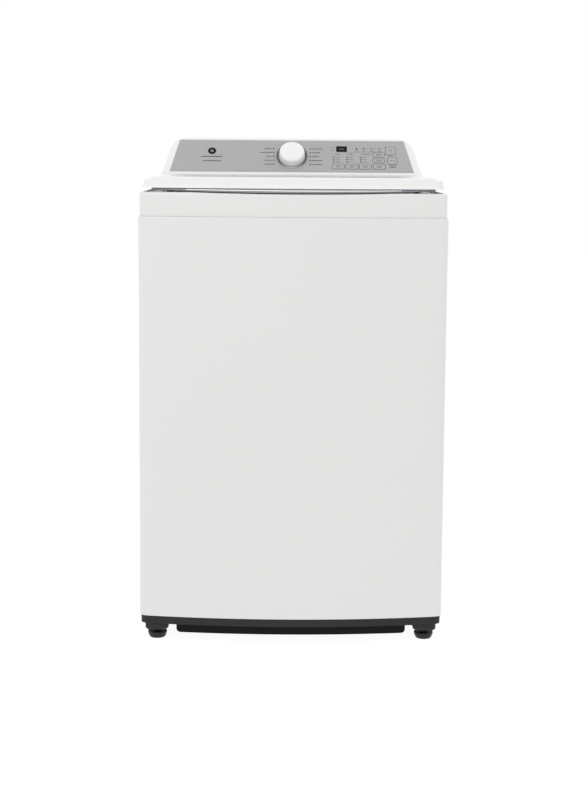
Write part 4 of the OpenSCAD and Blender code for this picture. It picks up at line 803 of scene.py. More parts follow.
def buildTopCover():
    cover = {"inset": 3.5 * mm, "wall": 3 * mm, "rim": 5 * mm, "rimWidth": 7 * mm, "edge": 6.5 * mm,
             "dip": 3.2 * mm,
             "mouthRadius": 130 * mm, "collarEdge": 6 * mm}
    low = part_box("top_cover")[0]
    rimZ = deckZ + cover["rim"]
    piece = drawBowed("topCover", cover["inset"], cabinetHigh.z, rearCorner=9 * mm, steps=28)
    extrude(0, 0, 0.12)
    bpy.ops.mesh.select_all(action="SELECT")
    normal = Vector((0, -math.sin(plan["slope"]), math.cos(plan["slope"])))
    bpy.ops.mesh.bisect(plane_co=(0, frontY, rimZ), plane_no=normal, clear_outer=True, use_fill=True)
    # the front edge sags in the middle, under the lid's grip
    gripHalf = 0.312
    sag = 6 * mm
    radius = (gripHalf ** 2 + sag ** 2) / (2 * sag)

    def sagging(point):
        if point.z < cabinetHigh.z + 0.02 or point.y > -0.28:
            return (0, 0, 0)
        limit = rimZ - cover["dip"] + radius - math.sqrt(radius ** 2 - min(abs(point.x), gripHalf) ** 2)
        return (0, 0, min(0, limit - point.z + riseAt(point.y)))

    nudge(sagging)
    pick("EDGE", lambda e: all(v.co.z > cabinetHigh.z + 0.02 for v in e.verts)
         and all(abs(v.co.z - rimZ - riseAt(v.co.y)) < cover["dip"] + 1e-4 for v in e.verts)
         and len(e.link_faces) == 2 and abs(e.link_faces[0].normal.z - e.link_faces[1].normal.z) > 0.5)
    bevel(cover["edge"], 5)
    pick("EDGE", lambda e: all(abs(v.co.z - cabinetHigh.z) < 1e-5 for v in e.verts))
    bevel(0.8 * mm, 2)
    pick("FACE", lambda f: f.normal.z > 0.95 and f.calc_area() > 0.2)
    inset(cover["rimWidth"] - cover["edge"] + 1.5 * mm)
    inset(1 * mm, -1 * mm)
    inset(0.6 * mm, -(cover["rim"] - 1 * mm))
    # flatten the deck again where the front edge sagged
    pick("FACE", lambda f: f.normal.z > 0.95 and f.calc_area() > 0.2)
    mesh = bmesh.from_edit_mesh(piece.data)
    for vertex in {v for f in mesh.faces if f.select for v in f.verts}:
        vertex.co.z = deckZ + riseAt(vertex.co.y)
    bmesh.update_edit_mesh(piece.data)
    recalc()
    objectMode()
    # the mouth and its collar
    mouthY = (frontY + hingePlace.y) / 2 + 16 * mm
    cutter = slab(0.2, "mouth", (0, mouthY), (0.43, 0.36), cover["mouthRadius"], 0.9, 16)
    cut(piece, cutter)
    edit(piece)
    pick("FACE", lambda f: f.normal.z < -0.95 and f.calc_area() > 0.1)
    bpy.ops.mesh.delete(type="FACE")

    def inside(vertex):
        return abs(vertex.co.x) < 0.22 and abs(vertex.co.y - mouthY) < 0.182

    pick("EDGE", lambda e: all(inside(v) and v.co.z > deckZ - 0.002 for v in e.verts)
         and len(e.link_faces) == 2
         and abs(e.link_faces[0].normal.z - e.link_faces[1].normal.z) > 0.5)
    bevel(cover["collarEdge"], 5)
    pick("EDGE", lambda e: all(inside(v) and v.co.z < cabinetHigh.z + 1e-4 for v in e.verts))
    extrude(0, 0, low.z - cabinetHigh.z)
    recalc()
    mesh = bmesh.from_edit_mesh(piece.data)
    deck = max((f for f in mesh.faces), key=lambda f: f.calc_area() if abs(f.normal.z) > 0.9 else 0)
    if deck.normal.z < 0:
        bpy.ops.mesh.flip_normals()
    objectMode()
    modify(piece, "SOLIDIFY", thickness=cover["wall"], offset=-1)
    strikeLow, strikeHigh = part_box("lid_strike")
    strikeX, strikeY = (strikeLow.x + strikeHigh.x) / 2, (strikeLow.y + strikeHigh.y) / 2
    cut(piece, block("slot", (strikeX - 5 * mm, strikeY - 16 * mm, deckZ - 0.02),
                     (strikeX + 5 * mm, strikeY + 14 * mm, deckZ + 0.03)))
    backWall = mouthY + 0.18
    cut(piece, block("slot", (-34 * mm, backWall - 0.02, deckZ - 0.02),
                     (34 * mm, backWall + 0.02, deckZ - 0.008)))
    lugs = []
    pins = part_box("lid_hinge_pins")
    for side in (-1, 1):
        x = side * (pins[1].x - 18 * mm)
        lug = rod("lug", (x - 8 * mm, hingePlace.y, hingePlace.z), (x + 8 * mm, hingePlace.y, hingePlace.z),
                  11 * mm)
        foot = block("foot", (x - 8 * mm, hingePlace.y - 11 * mm, deckZ - 2 * mm),
                     (x + 8 * mm, hingePlace.y + 11 * mm, hingePlace.z))
        cut(lug, foot, "UNION")
        cut(lug, rod("hole", (x - 0.1, hingePlace.y, hingePlace.z), (x + 0.1, hingePlace.y, hingePlace.z),
                     4.06 * mm))
        place(lug, topTilt)
        lugs.append(lug)
    piece = join("topCover", [piece] + lugs)
    finish(piece, "root", coverPlastic, ["top_cover"], angle=32)
    print("top cover built")


def lidSteps(lean, height, lowEdge, highEdge, count=4):
    # inset and rise of the lid's side: a small round at the foot, a straight slope, a larger round at the top
    steps = []
    for index in range(1, count + 1):
        share = index / count
        steps.append((lean * 0.06 * share, height * 0.1 * share))
    for share in (0.5, 1):
        steps.append((lean * (0.06 + 0.62 * share), height * (0.1 + 0.68 * share)))
    for index in range(1, count + 2):
        share = math.sin(math.pi / 2 * index / (count + 1))
        back = 1 - math.cos(math.pi / 2 * index / (count + 1))
        steps.append((lean * (0.68 + 0.32 * (0.45 * share + 0.55 * back)), height * (0.78 + 0.22 * share)))
    return steps


def buildLid():
    lid = {"inset": 8 * mm, "corner": 28 * mm, "lean": 14 * mm, "sideLean": 11 * mm, "height": 24 * mm,
           "wall": 3 * mm,
           "window": (0.5, 0.33), "windowRadius": 46 * mm, "glass": 4 * mm, "ledge": 9 * mm}
    lidZ = hingePlace.z - lid["height"] / 2
    top = lidZ + lid["height"]
    windowY = (frontY + hingePlace.y) / 2 + 4 * mm
    piece = drawBowed("lidFrame", 0, lidZ, half=halfWidth - lid["inset"], apex=frontY + lid["inset"],
                      corner=lid["corner"], back=hingePlace.y + 60 * mm, rearCorner=30 * mm, steps=28)
    extrude(0, 0, 0.6 * mm)
    done = (0.0, 0.6 * mm)
    for width, rise in lidSteps(lid["lean"], lid["height"], 2 * mm, 5 * mm):
        if rise <= done[1]:
            continue
        inset(width - done[0], rise - done[1])
        done = (width, rise)
    bpy.ops.mesh.select_all(action="SELECT")

    def leaning(point):
        # the ends lean in further than the front does
        share = max(0, min(1, (point.z - lidZ - 1 * mm) / lid["height"]))
        reach = max(0, min(1, (abs(point.x) - 0.2) / 0.1))
        return (-math.copysign(lid["sideLean"] * share * reach, point.x), 0, 0)

    nudge(leaning)
    recalc()
    bpy.ops.mesh.select_all(action="SELECT")
    bpy.ops.mesh.bisect(plane_co=(0, hingePlace.y - 14 * mm, 0), plane_no=(0, 1, 0), clear_outer=True,
                        use_fill=True)
    recalc()
    # hollow underneath
    pick("FACE", lambda f: f.normal.z < -0.95 and f.calc_area() > 0.2)
    inset(lid["wall"])
    inset(2 * mm, -(lid["height"] - lid["wall"] - 3 * mm))
    recalc()
    objectMode()
    barrelHalf = halfWidth - lid["inset"] - lid["lean"] - lid["sideLean"] - 2 * mm
    barrel = rod("barrel", (-barrelHalf, hingePlace.y, hingePlace.z),
                 (barrelHalf, hingePlace.y, hingePlace.z),
                 lid["height"] / 2, 48)
    filler = block("filler", (-barrelHalf, hingePlace.y - 18 * mm, lidZ), (barrelHalf, hingePlace.y, top))
    cut(piece, filler, "UNION")
    cut(piece, barrel, "UNION")
    lip = block("lip", (-barrelHalf, hingePlace.y - 4 * mm, top - 3 * mm),
                (barrelHalf, hingePlace.y + 19 * mm, top))
    cut(piece, lip, "UNION")
    for grow, low, high in ((0.0003, top - lid["glass"], top + 0.01),
                            (-lid["ledge"], lidZ - 0.01, top + 0.01)):
        size = [side + 2 * grow for side in lid["window"]]
        hole = slab(high - low, "hole", (0, windowY), size, lid["windowRadius"] + grow, low, 12)
        cut(piece, hole)
    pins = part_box("lid_hinge_pins")
    for side in (-1, 1):
        x = side * (pins[1].x - 18 * mm)
        cut(piece, block("notch", (x - 9 * mm, hingePlace.y - 14 * mm, lidZ - 0.01),
                         (x + 9 * mm, hingePlace.y + 25 * mm, top + 0.01)))
    place(piece, topTilt)
    finish(piece, "lid", whitePlastic, ["lid_frame"], 0.7 * mm, 2, 38)
    # the pane, with a dark printed border under its edge
    pane = slab(lid["glass"], "lidWindow", (0, windowY), lid["window"], lid["windowRadius"],
                top - lid["glass"], 12)
    place(pane, topTilt)
    finish(pane, "lid", glass, ["lid_window"], 0.8 * mm, 3)
    border = slab(0.2 * mm, "windowBorder", (0, windowY),
                  (lid["window"][0] - 1 * mm, lid["window"][1] - 1 * mm), lid["windowRadius"] - 0.5 * mm,
                  top - lid["glass"] - 0.25 * mm, 12)
    hole = slab(0.1, "hole", (0, windowY), (lid["window"][0] - 22 * mm, lid["window"][1] - 22 * mm),
                lid["windowRadius"] - 11 * mm, lidZ, 12)
    cut(border, hole)
    place(border, topTilt)
    finish(border, "lid", darkInk)
    buildLiner(lid, lidZ, windowY, top)
    print("lid built")


def buildLiner(lid, lidZ, windowY, top):
    liner = {"thickness": 2.5 * mm, "gap": 4.2 * mm}
    piece = drawBowed("lidLiner", 0, lidZ, half=halfWidth - lid["inset"] - liner["gap"],
                      apex=frontY + lid["inset"] + liner["gap"], corner=lid["corner"] - liner["gap"],
                      back=hingePlace.y - 16.2 * mm, rearCorner=1 * mm)
    extrude(0, 0, liner["thickness"])
    recalc()
    collar = slab(lid["height"] - lid["glass"] - lid["wall"] - 1 * mm, "collar", (0, windowY),
                  (lid["window"][0] - 14 * mm, lid["window"][1] - 14 * mm), lid["windowRadius"] - 7 * mm,
                  lidZ + 0.5 * mm, 12)
    cut(piece, collar, "UNION")
    hole = slab(0.1, "hole", (0, windowY), (lid["window"][0] - 18 * mm, lid["window"][1] - 18 * mm),
                lid["windowRadius"] - 9 * mm, lidZ - 0.01, 12)
    cut(piece, hole)
    place(piece, topTilt)
    finish(piece, "lid", whitePlastic, ["lid_liner"], 0.6 * mm, 2, 38)


def buildGrip():
    # a smoked strip under the lid's front edge, deepest in the middle, with a polished bead along it
    grip = {"half": 0.312, "drop": 11 * mm, "endDrop": 5 * mm, "steps": 40, "beadHalf": 0.236}
    lidZ = hingePlace.z - 12 * mm
    front = frontY + 9 * mm
    radius = bowRadius - 9 * mm
    drop = grip["drop"]
    sag = drop - grip["endDrop"]
    sagRadius = (grip["half"] ** 2 + sag ** 2) / (2 * sag)

    def lens(point):
        across = min(abs(point.x), grip["half"])
        share = (drop - (sagRadius - math.sqrt(sagRadius ** 2 - across ** 2))) / drop
        return (0, 0, (point.z - lidZ) * (share - 1))

    def sweep(name, profile, half):
        # each profile point is a depth behind the front and a drop below the lid, in millimetres
        piece = penStart(name, (0, front + profile[0][0] * mm, lidZ + profile[0][1] * mm))
        for here, there in zip(profile, profile[1:]):
            penLine(0, (there[0] - here[0]) * mm, (there[1] - here[1]) * mm)
        bpy.ops.mesh.select_all(action="SELECT")
        penArc((0, front + radius, lidZ), math.asin(half / radius), grip["steps"])
        bpy.ops.mesh.select_all(action="SELECT")
        bpy.ops.mesh.symmetrize(direction="POSITIVE_X")
        recalc()
        pick("EDGE", lambda e: e.is_boundary)
        bpy.ops.mesh.edge_face_add()
        bpy.ops.mesh.select_all(action="DESELECT")
        pick("EDGE", lambda e: e.is_boundary)
        bpy.ops.mesh.fill_holes(sides=0)
        nudge(lens)
        recalc()
        objectMode()
        return place(piece, topTilt)

    strip = sweep("lidGrip", [(2.2, 0), (2.6, -1.0), (2.0, -2.2), (1.2, -3.6), (1.0, -4.4), (1.3, -5.2),
                              (1.4, -6.4),
                              (0.6, -7.4), (0.3, -8.4), (0.9, -9.6), (2.4, -10.6), (5, -11), (8, -10.8),
                              (8, 0),
                              (2.2, 0)], grip["half"])
    finish(strip, "lid", smokedTrim, ["lid_grip"], angle=50)
    bead = sweep("gripBead", [(1.6, -2.9), (0.0, -3.3), (-0.7, -4.2), (-0.8, -5.2), (-0.3, -6.1),
                              (1.6, -6.5), (1.6, -2.9)],
                 grip["beadHalf"])
    finish(bead, "lid", polish, angle=60)


def buildConsole():
    console = {"footHalf": 0.325, "topHalf": 0.297, "slopeZ": 0.095, "cornerRadius": 30 * mm,
               "wall": 3 * mm,
               "lowHalf": 0.307, "highHalf": 0.284, "slope": 0.103}
    low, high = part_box("console_body")
    base = cabinetHigh.z
    piece = block("consoleBody", (-console["footHalf"], low.y, deckZ - 0.01),
                  (console["footHalf"], high.y, high.z))
    edit(piece)

    def slice(point, normal):
        bpy.ops.mesh.select_all(action="SELECT")
        bpy.ops.mesh.bisect(plane_co=point, plane_no=normal, clear_outer=True, use_fill=True)

    slopeUp = Vector((0, math.cos(faceTurn), math.sin(faceTurn)))
    footOfFace = faceMiddle - slopeUp * console["slope"] / 2
    topOfFace = faceMiddle + slopeUp * console["slope"] / 2
    slice(faceMiddle, faceNormal)
    lip = Vector((0, low.y, footOfFace.z - 9 * mm))
    lipNormal = Vector((0, -(footOfFace.z - lip.z), footOfFace.y - lip.y))
    slice(lip, lipNormal)
    crest = Vector((0, topOfFace.y + 7 * mm, high.z))
    slice(crest, Vector((0, -(crest.z - topOfFace.z), crest.y - topOfFace.y)))
    for side in (-1, 1):
        start = Vector((side * console["footHalf"], 0, base + console["slopeZ"]))
        end = Vector((side * console["topHalf"], 0, high.z))
        slice(start, Vector((side * (end.z - start.z), 0, side * (start.x - end.x))))
    # round the upper corners, then the back and the foot of the ends
    top = high.z - 2 * mm
    pick("EDGE", lambda e: all(v.co.z > top - 4 * mm for v in e.verts)
         and abs(e.verts[0].co.x - e.verts[1].co.x) < 2 * mm
         and abs(middle(e).x) > 0.25)
    bevel(console["cornerRadius"], 8)
    recalc()
    pick("EDGE", lambda e: all(v.co.y > high.y - 1e-4 for v in e.verts) and middle(e).z > base + 0.09
         and abs((e.verts[0].co - e.verts[1].co).normalized().y) < 0.2)
    bevel(8 * mm, 4)
    recalc()
    pick("FACE", lambda f: f.normal.z < -0.9)
    bpy.ops.mesh.delete(type="FACE")
    objectMode()
    modify(piece, "BEVEL", width=2.4 * mm, segments=3, limit_method="ANGLE", angle_limit=math.radians(12))
    edit(piece)
    recalc()
    mesh = bmesh.from_edit_mesh(piece.data)
    face = max(mesh.faces, key=lambda f: f.calc_area())
    if face.normal.dot(middle(face) - Vector((0, 0.26, 1.05))) < 0:
        bpy.ops.mesh.flip_normals()
    objectMode()
    modify(piece, "SOLIDIFY", thickness=console["wall"], offset=-1)
    under = block("under", (-0.4, 0, 0.9), (0.4, 0.4, deckZ + 0.2 * mm))
    place(under, topTilt)
    cut(piece, under)
    opening = panelBlank("opening", console, -1.7 * mm, 10 * mm)
    toFace(opening, 0, 0, -2.2 * mm)
    cut(piece, opening)
    opening = panelBlank("opening", console, -12 * mm, 30 * mm)
    toFace(opening, 0, 0, -15 * mm)
    cut(piece, opening)
    plateLow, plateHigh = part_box("console_back")
    cut(piece, block("opening", (plateLow.x + 8 * mm, high.y - 0.01, plateLow.z + 8 * mm),
                     (plateHigh.x - 8 * mm, high.y + 0.01, plateHigh.z - 8 * mm)))
    cut(piece, block("opening", (plateLow.x - 0.2 * mm, high.y - 1 * mm, plateLow.z - 0.2 * mm),
                     (plateHigh.x + 0.2 * mm, high.y + 0.01, plateHigh.z + 0.2 * mm)))
    finish(piece, "root", whitePlastic, ["console_body"], angle=30)
    return console


def panelBlank(name, console, grow, thickness):
    low, high, half = console["lowHalf"] + grow, console["highHalf"] + grow, console["slope"] / 2 + grow
    piece = penStart(name, (-low, -half, 0))
    penLine(2 * low, 0)
    penLine(high - low, 2 * half)
    penLine(-2 * high, 0)
    penLine(high - low, -2 * half)
    fillUp()
    extrude(0, 0, thickness)
    recalc()
    objectMode()
    return piece


# the control panel's layout in millimetres: x across and y up the slope, from the middle of the knob
panel = {
    "keys": {"power": ((248, 18), (24, 24)), "start": ((252, -13), (23, 20)),
             "option_1": ((116, -32), (29, 15)), "option_2": ((150, -32), (29, 15)),
             "option_3": ((184, -32), (29, 15)), "option_4": ((219, -32), (29, 15)),
             "option_5": ((218, 5), (28, 12.5)), "option_6": ((218, -13), (28, 12.5))},
    "display": ((125, 23), (27, 18)), "proud": 0.8, "thickness": 3, "gap": 0.4,
    "lamps": [(side * 46, -1.5 + row * 12.2) for side in (-1, 1) for row in range(-2, 3)]
    + [(x - 11.5, -17 + row * 7.2) for x in (116, 150, 184) for row in range(3)],
    "cycleWidths": {-1: (19, 30, 14, 19, 19), 1: (29, 22, 18, 26, 27)},
}


def buildPanel(console):
    plate = panelBlank("controlPanel", console, -2 * mm, panel["thickness"] * mm)
    holes = [rod("hole", (0, 0, -0.01), (0, 0, 0.01), 25 * mm, 48)]
    for centre, size in list(panel["keys"].values()):
        hole = slab(0.02, "hole", [c * mm for c in centre], [(s + 2 * panel["gap"]) * mm for s in size],
                    3.4 * mm, -0.01, 4)
        holes.append(hole)
    centre, size = panel["display"]
    hole = slab(0.02, "hole", [c * mm for c in centre], [s * mm for s in size], 1.5 * mm, -0.01, 3)
    holes.append(hole)
    for x, y in panel["lamps"]:
        holes.append(rod("hole", (x * mm, y * mm, -0.01), (x * mm, y * mm, 0.01), 1.5 * mm, 16))
    cut(plate, join("holes", holes))
    toFace(plate, 0, 0, (panel["proud"] - panel["thickness"]) * mm)
    finish(plate, "root", panelPaint, ["control_panel"], 0.35 * mm, 2)


def buildKeys():
    for name, (centre, size) in panel["keys"].items():
        key = drawRounded("key_" + name, (0, 0), [s * mm for s in size], 3 * mm, -panel["thickness"] * mm,
                          5)
        extrude(0, 0, (panel["thickness"] + 2 * panel["proud"] - 0.6) * mm)
        inset(0.35 * mm, 0.4 * mm)
        inset(0.6 * mm, 0.2 * mm)
        inset(2.2 * mm, -0.15 * mm)
        recalc()
        objectMode()
        stem = rod("stem", (0, 0, -11 * mm), (0, 0, -2.5 * mm), 3 * mm, 20)
        key = join("key_" + name, [key, stem])
        toFace(key, centre[0] * mm, centre[1] * mm)
        if name in ("power", "start"):
            finish(key, name + "_key", buttonPaint, [name + "_button"], angle=30)
        else:
            finish(key, name.replace("option_", "option_key_"), buttonPaint,
                   [name.replace("option_", "option_button_")], angle=30)


def buildDisplay():
    centre, size = panel["display"]
    piece = drawRounded("displayWindow", (0, 0), [s * mm for s in size], 1.5 * mm, -6 * mm, 4)
    extrude(0, 0, (6 + panel["proud"] - 0.3) * mm)
    inset(0.4 * mm, 0.3 * mm)
    recalc()
    objectMode()
    toFace(piece, centre[0] * mm, centre[1] * mm)
    finish(piece, "root", displayPlastic, ["display_window"])
    bars = []
    for x in (-5.4, -2.1, 2.5, 5.8):
        bars.append(block("dash", ((x - 1.1) * mm, -0.35 * mm, 0), ((x + 1.1) * mm, 0.35 * mm, 0.12 * mm)))
    bars.append(block("dash", (-0.1 * mm, 1.3 * mm, 0), (0.5 * mm, 1.9 * mm, 0.12 * mm)))
    bars.append(block("dash", (-0.1 * mm, -1.9 * mm, 0), (0.5 * mm, -1.3 * mm, 0.12 * mm)))
    dashes = join("displayDashes", bars)
    toFace(dashes, centre[0] * mm, centre[1] * mm, panel["proud"] * mm)
    finish(dashes, "root", paleInk)


def buildPrint():
    # words stand as plain bars, icons as simple signs; the print is a tenth of a millimetre thick
    lift = panel["proud"] * mm
    thick = 0.1 * mm
    dark, line = [], []

    def bar(group, x, y, width, height=2.0):
        piece = block("bar", ((x - width / 2) * mm, (y - height / 2) * mm, 0),
                      ((x + width / 2) * mm, (y + height / 2) * mm, thick))
        group.append(piece)

    def word(group, x, y, width, height=2.2, seed=0):
        # a short row of bars of uneven length, as letters seen from afar
        at = x - width / 2
        end = x + width / 2
        step = seed
        while at < end - 1.2:
            length = min(1.6 + 1.1 * ((step * 7) % 5) / 2, end - at)
            tall = height * (0.72 if step % 3 else 1.0)
            piece = block("bar", (at * mm, (y - height / 2) * mm, 0),
                          ((at + length) * mm, (y - height / 2 + tall) * mm, thick))
            group.append(piece)
            at += length + 0.55
            step += 1

    # a dark ring hugging a key's opening: a printed outline that is also painted shade for the gap round the key
    def keyOutlineAndGapShade(x, y, width, height, radius, weight=0.95):
        ring = drawRounded("outline", (x * mm, y * mm), (width * mm, height * mm), radius * mm, 0, 5)
        inset(weight * mm)
        bpy.ops.mesh.delete(type="FACE")
        bpy.ops.mesh.select_all(action="SELECT")
        extrude(0, 0, thick)
        recalc()
        objectMode()
        line.append(ring)

    for side, widths in panel["cycleWidths"].items():
        for row, width in enumerate(widths):
            y = -1.5 + (2 - row) * 12.2
            word(dark, side * (50 + width / 2), y, width, 2.6, row + (side > 0) * 3)
    for index, (x, y) in enumerate(((163, 24), (181, 24), (201, 24), (220, 24))):
        drawIcon(dark, index, x, y, thick)
        word(dark, x, 16.6, 11, 1.6, index)
    word(dark, 102, 27, 6, 1.8, 1)
    word(dark, 102, 19, 6, 1.8, 2)
    for index, x in enumerate((152, 172, 191, 210)):
        bar(line, x, 24, 0.6, 8)
    bar(line, 172, 12.6, 112, 0.5)
    for column, (x, widths) in enumerate(((116, (12, 13, 10, 14)), (150, (12, 11, 14, 9)),
                                          (184, (20, 11, 12, 13)))):
        word(dark, x - 8 + widths[0] / 2, 7.0, widths[0], 2.0, column)
        for row in range(3):
            word(line, x - 7.5 + widths[row + 1] / 2, -2.6 - row * 7.2, widths[row + 1], 1.8, column + row)
    # dark rings round the keys: printed outlines and painted shade of the gaps round them
    for name, (centre, size) in panel["keys"].items():
        keyOutlineAndGapShade(centre[0], centre[1], size[0] + 2.6, size[1] + 2.6, 4.2)
    word(dark, 248.5, 2.6, 14, 1.8, 2)
    word(dark, 252.5, -28, 19, 2.4, 4)
    word(dark, 252.5, -33, 17, 2.4, 1)
    badge = rod("badgeDisc", (-200.8 * mm, 14.5 * mm, 0), (-200.8 * mm, 14.5 * mm, 0.6 * mm), 10.3 * mm, 48)
    word(dark, -200.8, -3, 53, 3.6, 1)
    word(dark, -200.8, -16.5, 46, 3.2, 3)
    # the lines join with the painted gap shade round the keys
    for name, group, material in (("panelWords", dark, darkInk), ("panelLinesAndGapShade", line, lineInkAndPaintedGapShade)):
        piece = join(name, group)
        toFace(piece, 0, 0, lift)
        finish(piece, "root", material)
    toFace(badge, 0, 0, lift)
    finish(badge, "root", displayPlastic, edge=0.3 * mm)
    sign = flatRing("badgeSign", 3 * mm, 3.6 * mm, thick, 40)
    dot = rod("dot", (0, 0, 0), (0, 0, thick), 0.9 * mm, 24)
    sign = join("badgeSign", [sign, dot])
    toFace(sign, -200.8 * mm, 14.5 * mm, lift + 0.6 * mm)
    finish(sign, "root", paleInk)
    buildKeySigns(lift, thick)


def drawIcon(group, index, x, y, thick):
    # a drop, a sun, a snowflake and a clock
    if index == 0:
        group.append(rod("icon", (x * mm, (y - 1) * mm, 0), (x * mm, (y - 1) * mm, thick), 2.3 * mm, 20))
        tip = rod("icon", (x * mm, (y + 1.6) * mm, 0), (x * mm, (y + 1.6) * mm, thick), 2.0 * mm, 3)
        group.append(tip)
    elif index in (1, 2):
        for turn in range(4 if index == 1 else 3):
            ray = block("icon", (-3.2 * mm, -0.35 * mm, 0), (3.2 * mm, 0.35 * mm, thick))
            angle = math.pi * turn / (4 if index == 1 else 3)
            turn = Matrix.Rotation(angle, 4, "Z")
            group.append(place(ray, Matrix.Translation((x * mm, y * mm, 0)) @ turn))
        if index == 1:
            group.append(rod("icon", (x * mm, y * mm, 0), (x * mm, y * mm, thick * 1.5), 1.6 * mm, 16))
    else:
        ring = flatRing("icon", 2.3 * mm, 3 * mm, thick, 24, (x * mm, y * mm, 0))
        group.append(ring)
        group.append(block("icon", ((x - 0.3) * mm, y * mm, 0), ((x + 0.3) * mm, (y + 1.9) * mm, thick)))
        group.append(block("icon", (x * mm, (y - 0.3) * mm, 0), ((x + 1.5) * mm, (y + 0.3) * mm, thick)))


def buildKeySigns(lift, thick):
    # the standby ring on the power key, play and pause on the start key, a bar on each option key
    top = 2 * panel["proud"] * mm - 0.16 * mm
    for name, (centre, _) in panel["keys"].items():
        signs = []
        if name == "power":
            signs.append(flatRing("sign", 3.6 * mm, 4.4 * mm, thick, 32))
            signs.append(block("sign", (-0.4 * mm, 1.5 * mm, 0), (0.4 * mm, 5.6 * mm, thick * 1.4)))
        elif name == "start":
            arrow = rod("sign", (-3.6 * mm, 0, 0), (-3.6 * mm, 0, thick), 2.4 * mm, 3)
            signs.append(arrow)
            for x in (1.6, 4.2):
                signs.append(block("sign", (x * mm, -2 * mm, 0), ((x + 1.2) * mm, 2 * mm, thick)))
        else:
            for row, width in ((1.4, 15), (-1.9, 10)):
                signs.append(block("sign", (-width / 2 * mm, (row - 0.7) * mm, 0),
                                   (width / 2 * mm, (row + 0.7) * mm, thick)))
        sign = join("sign_" + name, signs)
        toFace(sign, centre[0] * mm, centre[1] * mm, top)
        body = name + "_key" if name in ("power", "start") else name.replace("option_", "option_key_")
        finish(sign, body, lineInkAndPaintedGapShade)


def buildLamps():
    lamps = []
    for x, y in panel["lamps"]:
        lamp = lathe("lamp", [(1.45 * mm, -6 * mm), (1.45 * mm, 0.5 * mm), (1.1 * mm, 0.85 * mm),
                              (0.6 * mm, 1.05 * mm),
                              (0, 1.1 * mm)], 16, (x * mm, y * mm, 0))
        collar = lathe("collar", [(1.5 * mm, 0.75 * mm), (2.0 * mm, 0.75 * mm), (2.0 * mm, 0.95 * mm),
                                  (1.5 * mm, 0.95 * mm), (1.5 * mm, 0.75 * mm)], 16, (x * mm, y * mm, 0))
        lamps += [lamp, collar]
    piece = join("indicatorLights", lamps)
    toFace(piece)
    finish(piece, "root", lampPlastic, ["indicator_lights"])


def buildKnob():
    knob = {"radius": 33 * mm, "height": 19 * mm, "round": 6 * mm, "low": 1.8 * mm}
    r, h, e = knob["radius"], knob["height"], knob["round"]
    profile = [(0, 0), (r - 10 * mm, 0), (r - 10 * mm, 14 * mm), (r - 3 * mm, 14 * mm), (r - 3 * mm, 0),
               (r - 0.5 * mm, 0), (r, 0.5 * mm), (r - 1.4 * mm, h - e)]
    for index in range(1, 9):
        angle = math.pi / 2 * index / 8
        profile.append((r - 1.4 * mm - e * (1 - math.cos(angle)), h - e + e * math.sin(angle) * 0.95))
    profile += [(r - 12 * mm, h), (r - 18 * mm, h - 0.25 * mm), (0, h - 0.5 * mm)]
    body = lathe("cycleKnob", profile, 96, (0, 0, knob["low"]))
    stem = rod("stem", (0, 0, -18 * mm), (0, 0, 4 * mm), 3 * mm)
    body = join("cycleKnob", [body, stem])
    toFace(body)
    finish(body, "knob", knobPlastic, ["cycle_knob"], angle=40)
    mark = slab(0.75 * mm, "knobMark", (0, 22 * mm), (1.8 * mm, 8 * mm), 0.9 * mm,
                knob["low"] + h - 0.6 * mm, 4)
    toFace(mark)
    finish(mark, "knob", knobPlastic)
    # the ring round the knob, whose finish paints its reflection: dark at the sides, light above and below
    r = 39 * mm
    ring = lathe("knobRing", [(r - 5 * mm, 0), (r, 0), (r - 0.1 * mm, 0.9 * mm), (r - 0.8 * mm, 1.7 * mm),
                              (r - 1.8 * mm, 2 * mm), (r - 3.2 * mm, 1.7 * mm), (r - 4.4 * mm, 0.8 * mm),
                              (r - 5 * mm, 0)], 96, (0, 0, panel["proud"] * mm))
    toFace(ring)
    finish(ring, "root", ringPaintedReflection, ["knob_ring"], angle=50)


def buildBackOfConsole():
    low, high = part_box("console_back")
    plate = slab(0.9 * mm, "consoleBack", (0, 0), (high.x - low.x, high.z - low.z), 3 * mm, 0, 4)
    slots = []
    for index in range(-4, 5):
        slot = slab(0.02, "slot", (index * 12 * mm + 0.15, 4 * mm), (5 * mm, 24 * mm), 2.4 * mm, -0.01, 5)
        slots.append(slot)
    cut(plate, join("slots", slots))
    toBack(plate, 0, low.y, (low.z + high.z) / 2)
    finish(plate, "root", galvanised, ["console_back"])
    # hex screws with a washer face, one modelled and copied
    screw = rod("caseScrew", (0, 0, -7 * mm), (0, 0, 0.2 * mm), 2 * mm, 16)
    washer = lathe("washer", [(0, 0), (4.4 * mm, 0), (4.4 * mm, 0.5 * mm), (3.4 * mm, 0.9 * mm),
                              (0, 0.9 * mm)], 24)
    head = rod("head", (0, 0, 0.8 * mm), (0, 0, 2.3 * mm), 3.1 * mm, 6)
    dimple = lathe("dimple", [(0, 0), (1.5 * mm, 0), (1.5 * mm, 3 * mm), (0, 3 * mm)], 16, (0, 0, 1.7 * mm))
    cut(head, dimple)
    screw = join("caseScrew", [screw, washer, head])
    panelLow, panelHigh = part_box("rear_panel")
    places = []
    for side in (-1, 1):
        for index in range(4):
            z = panelLow.z + 14 * mm + index * (panelHigh.z - panelLow.z - 28 * mm) / 3
            places.append((side * (halfWidth - 13 * mm), backY + 1 * mm, z))
    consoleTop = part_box("console_body")[1].z
    places += [(x * mm, backY, consoleTop - 22 * mm) for x in (-240, -80, 80, 240)]
    screws = [toBack(copyOf(screw, "screw"), *spot) for spot in places]
    bpy.data.objects.remove(screw)
    finish(join("caseScrews", screws), "root", zincSteel, ["case_screws"], angle=25)
    print("console built")


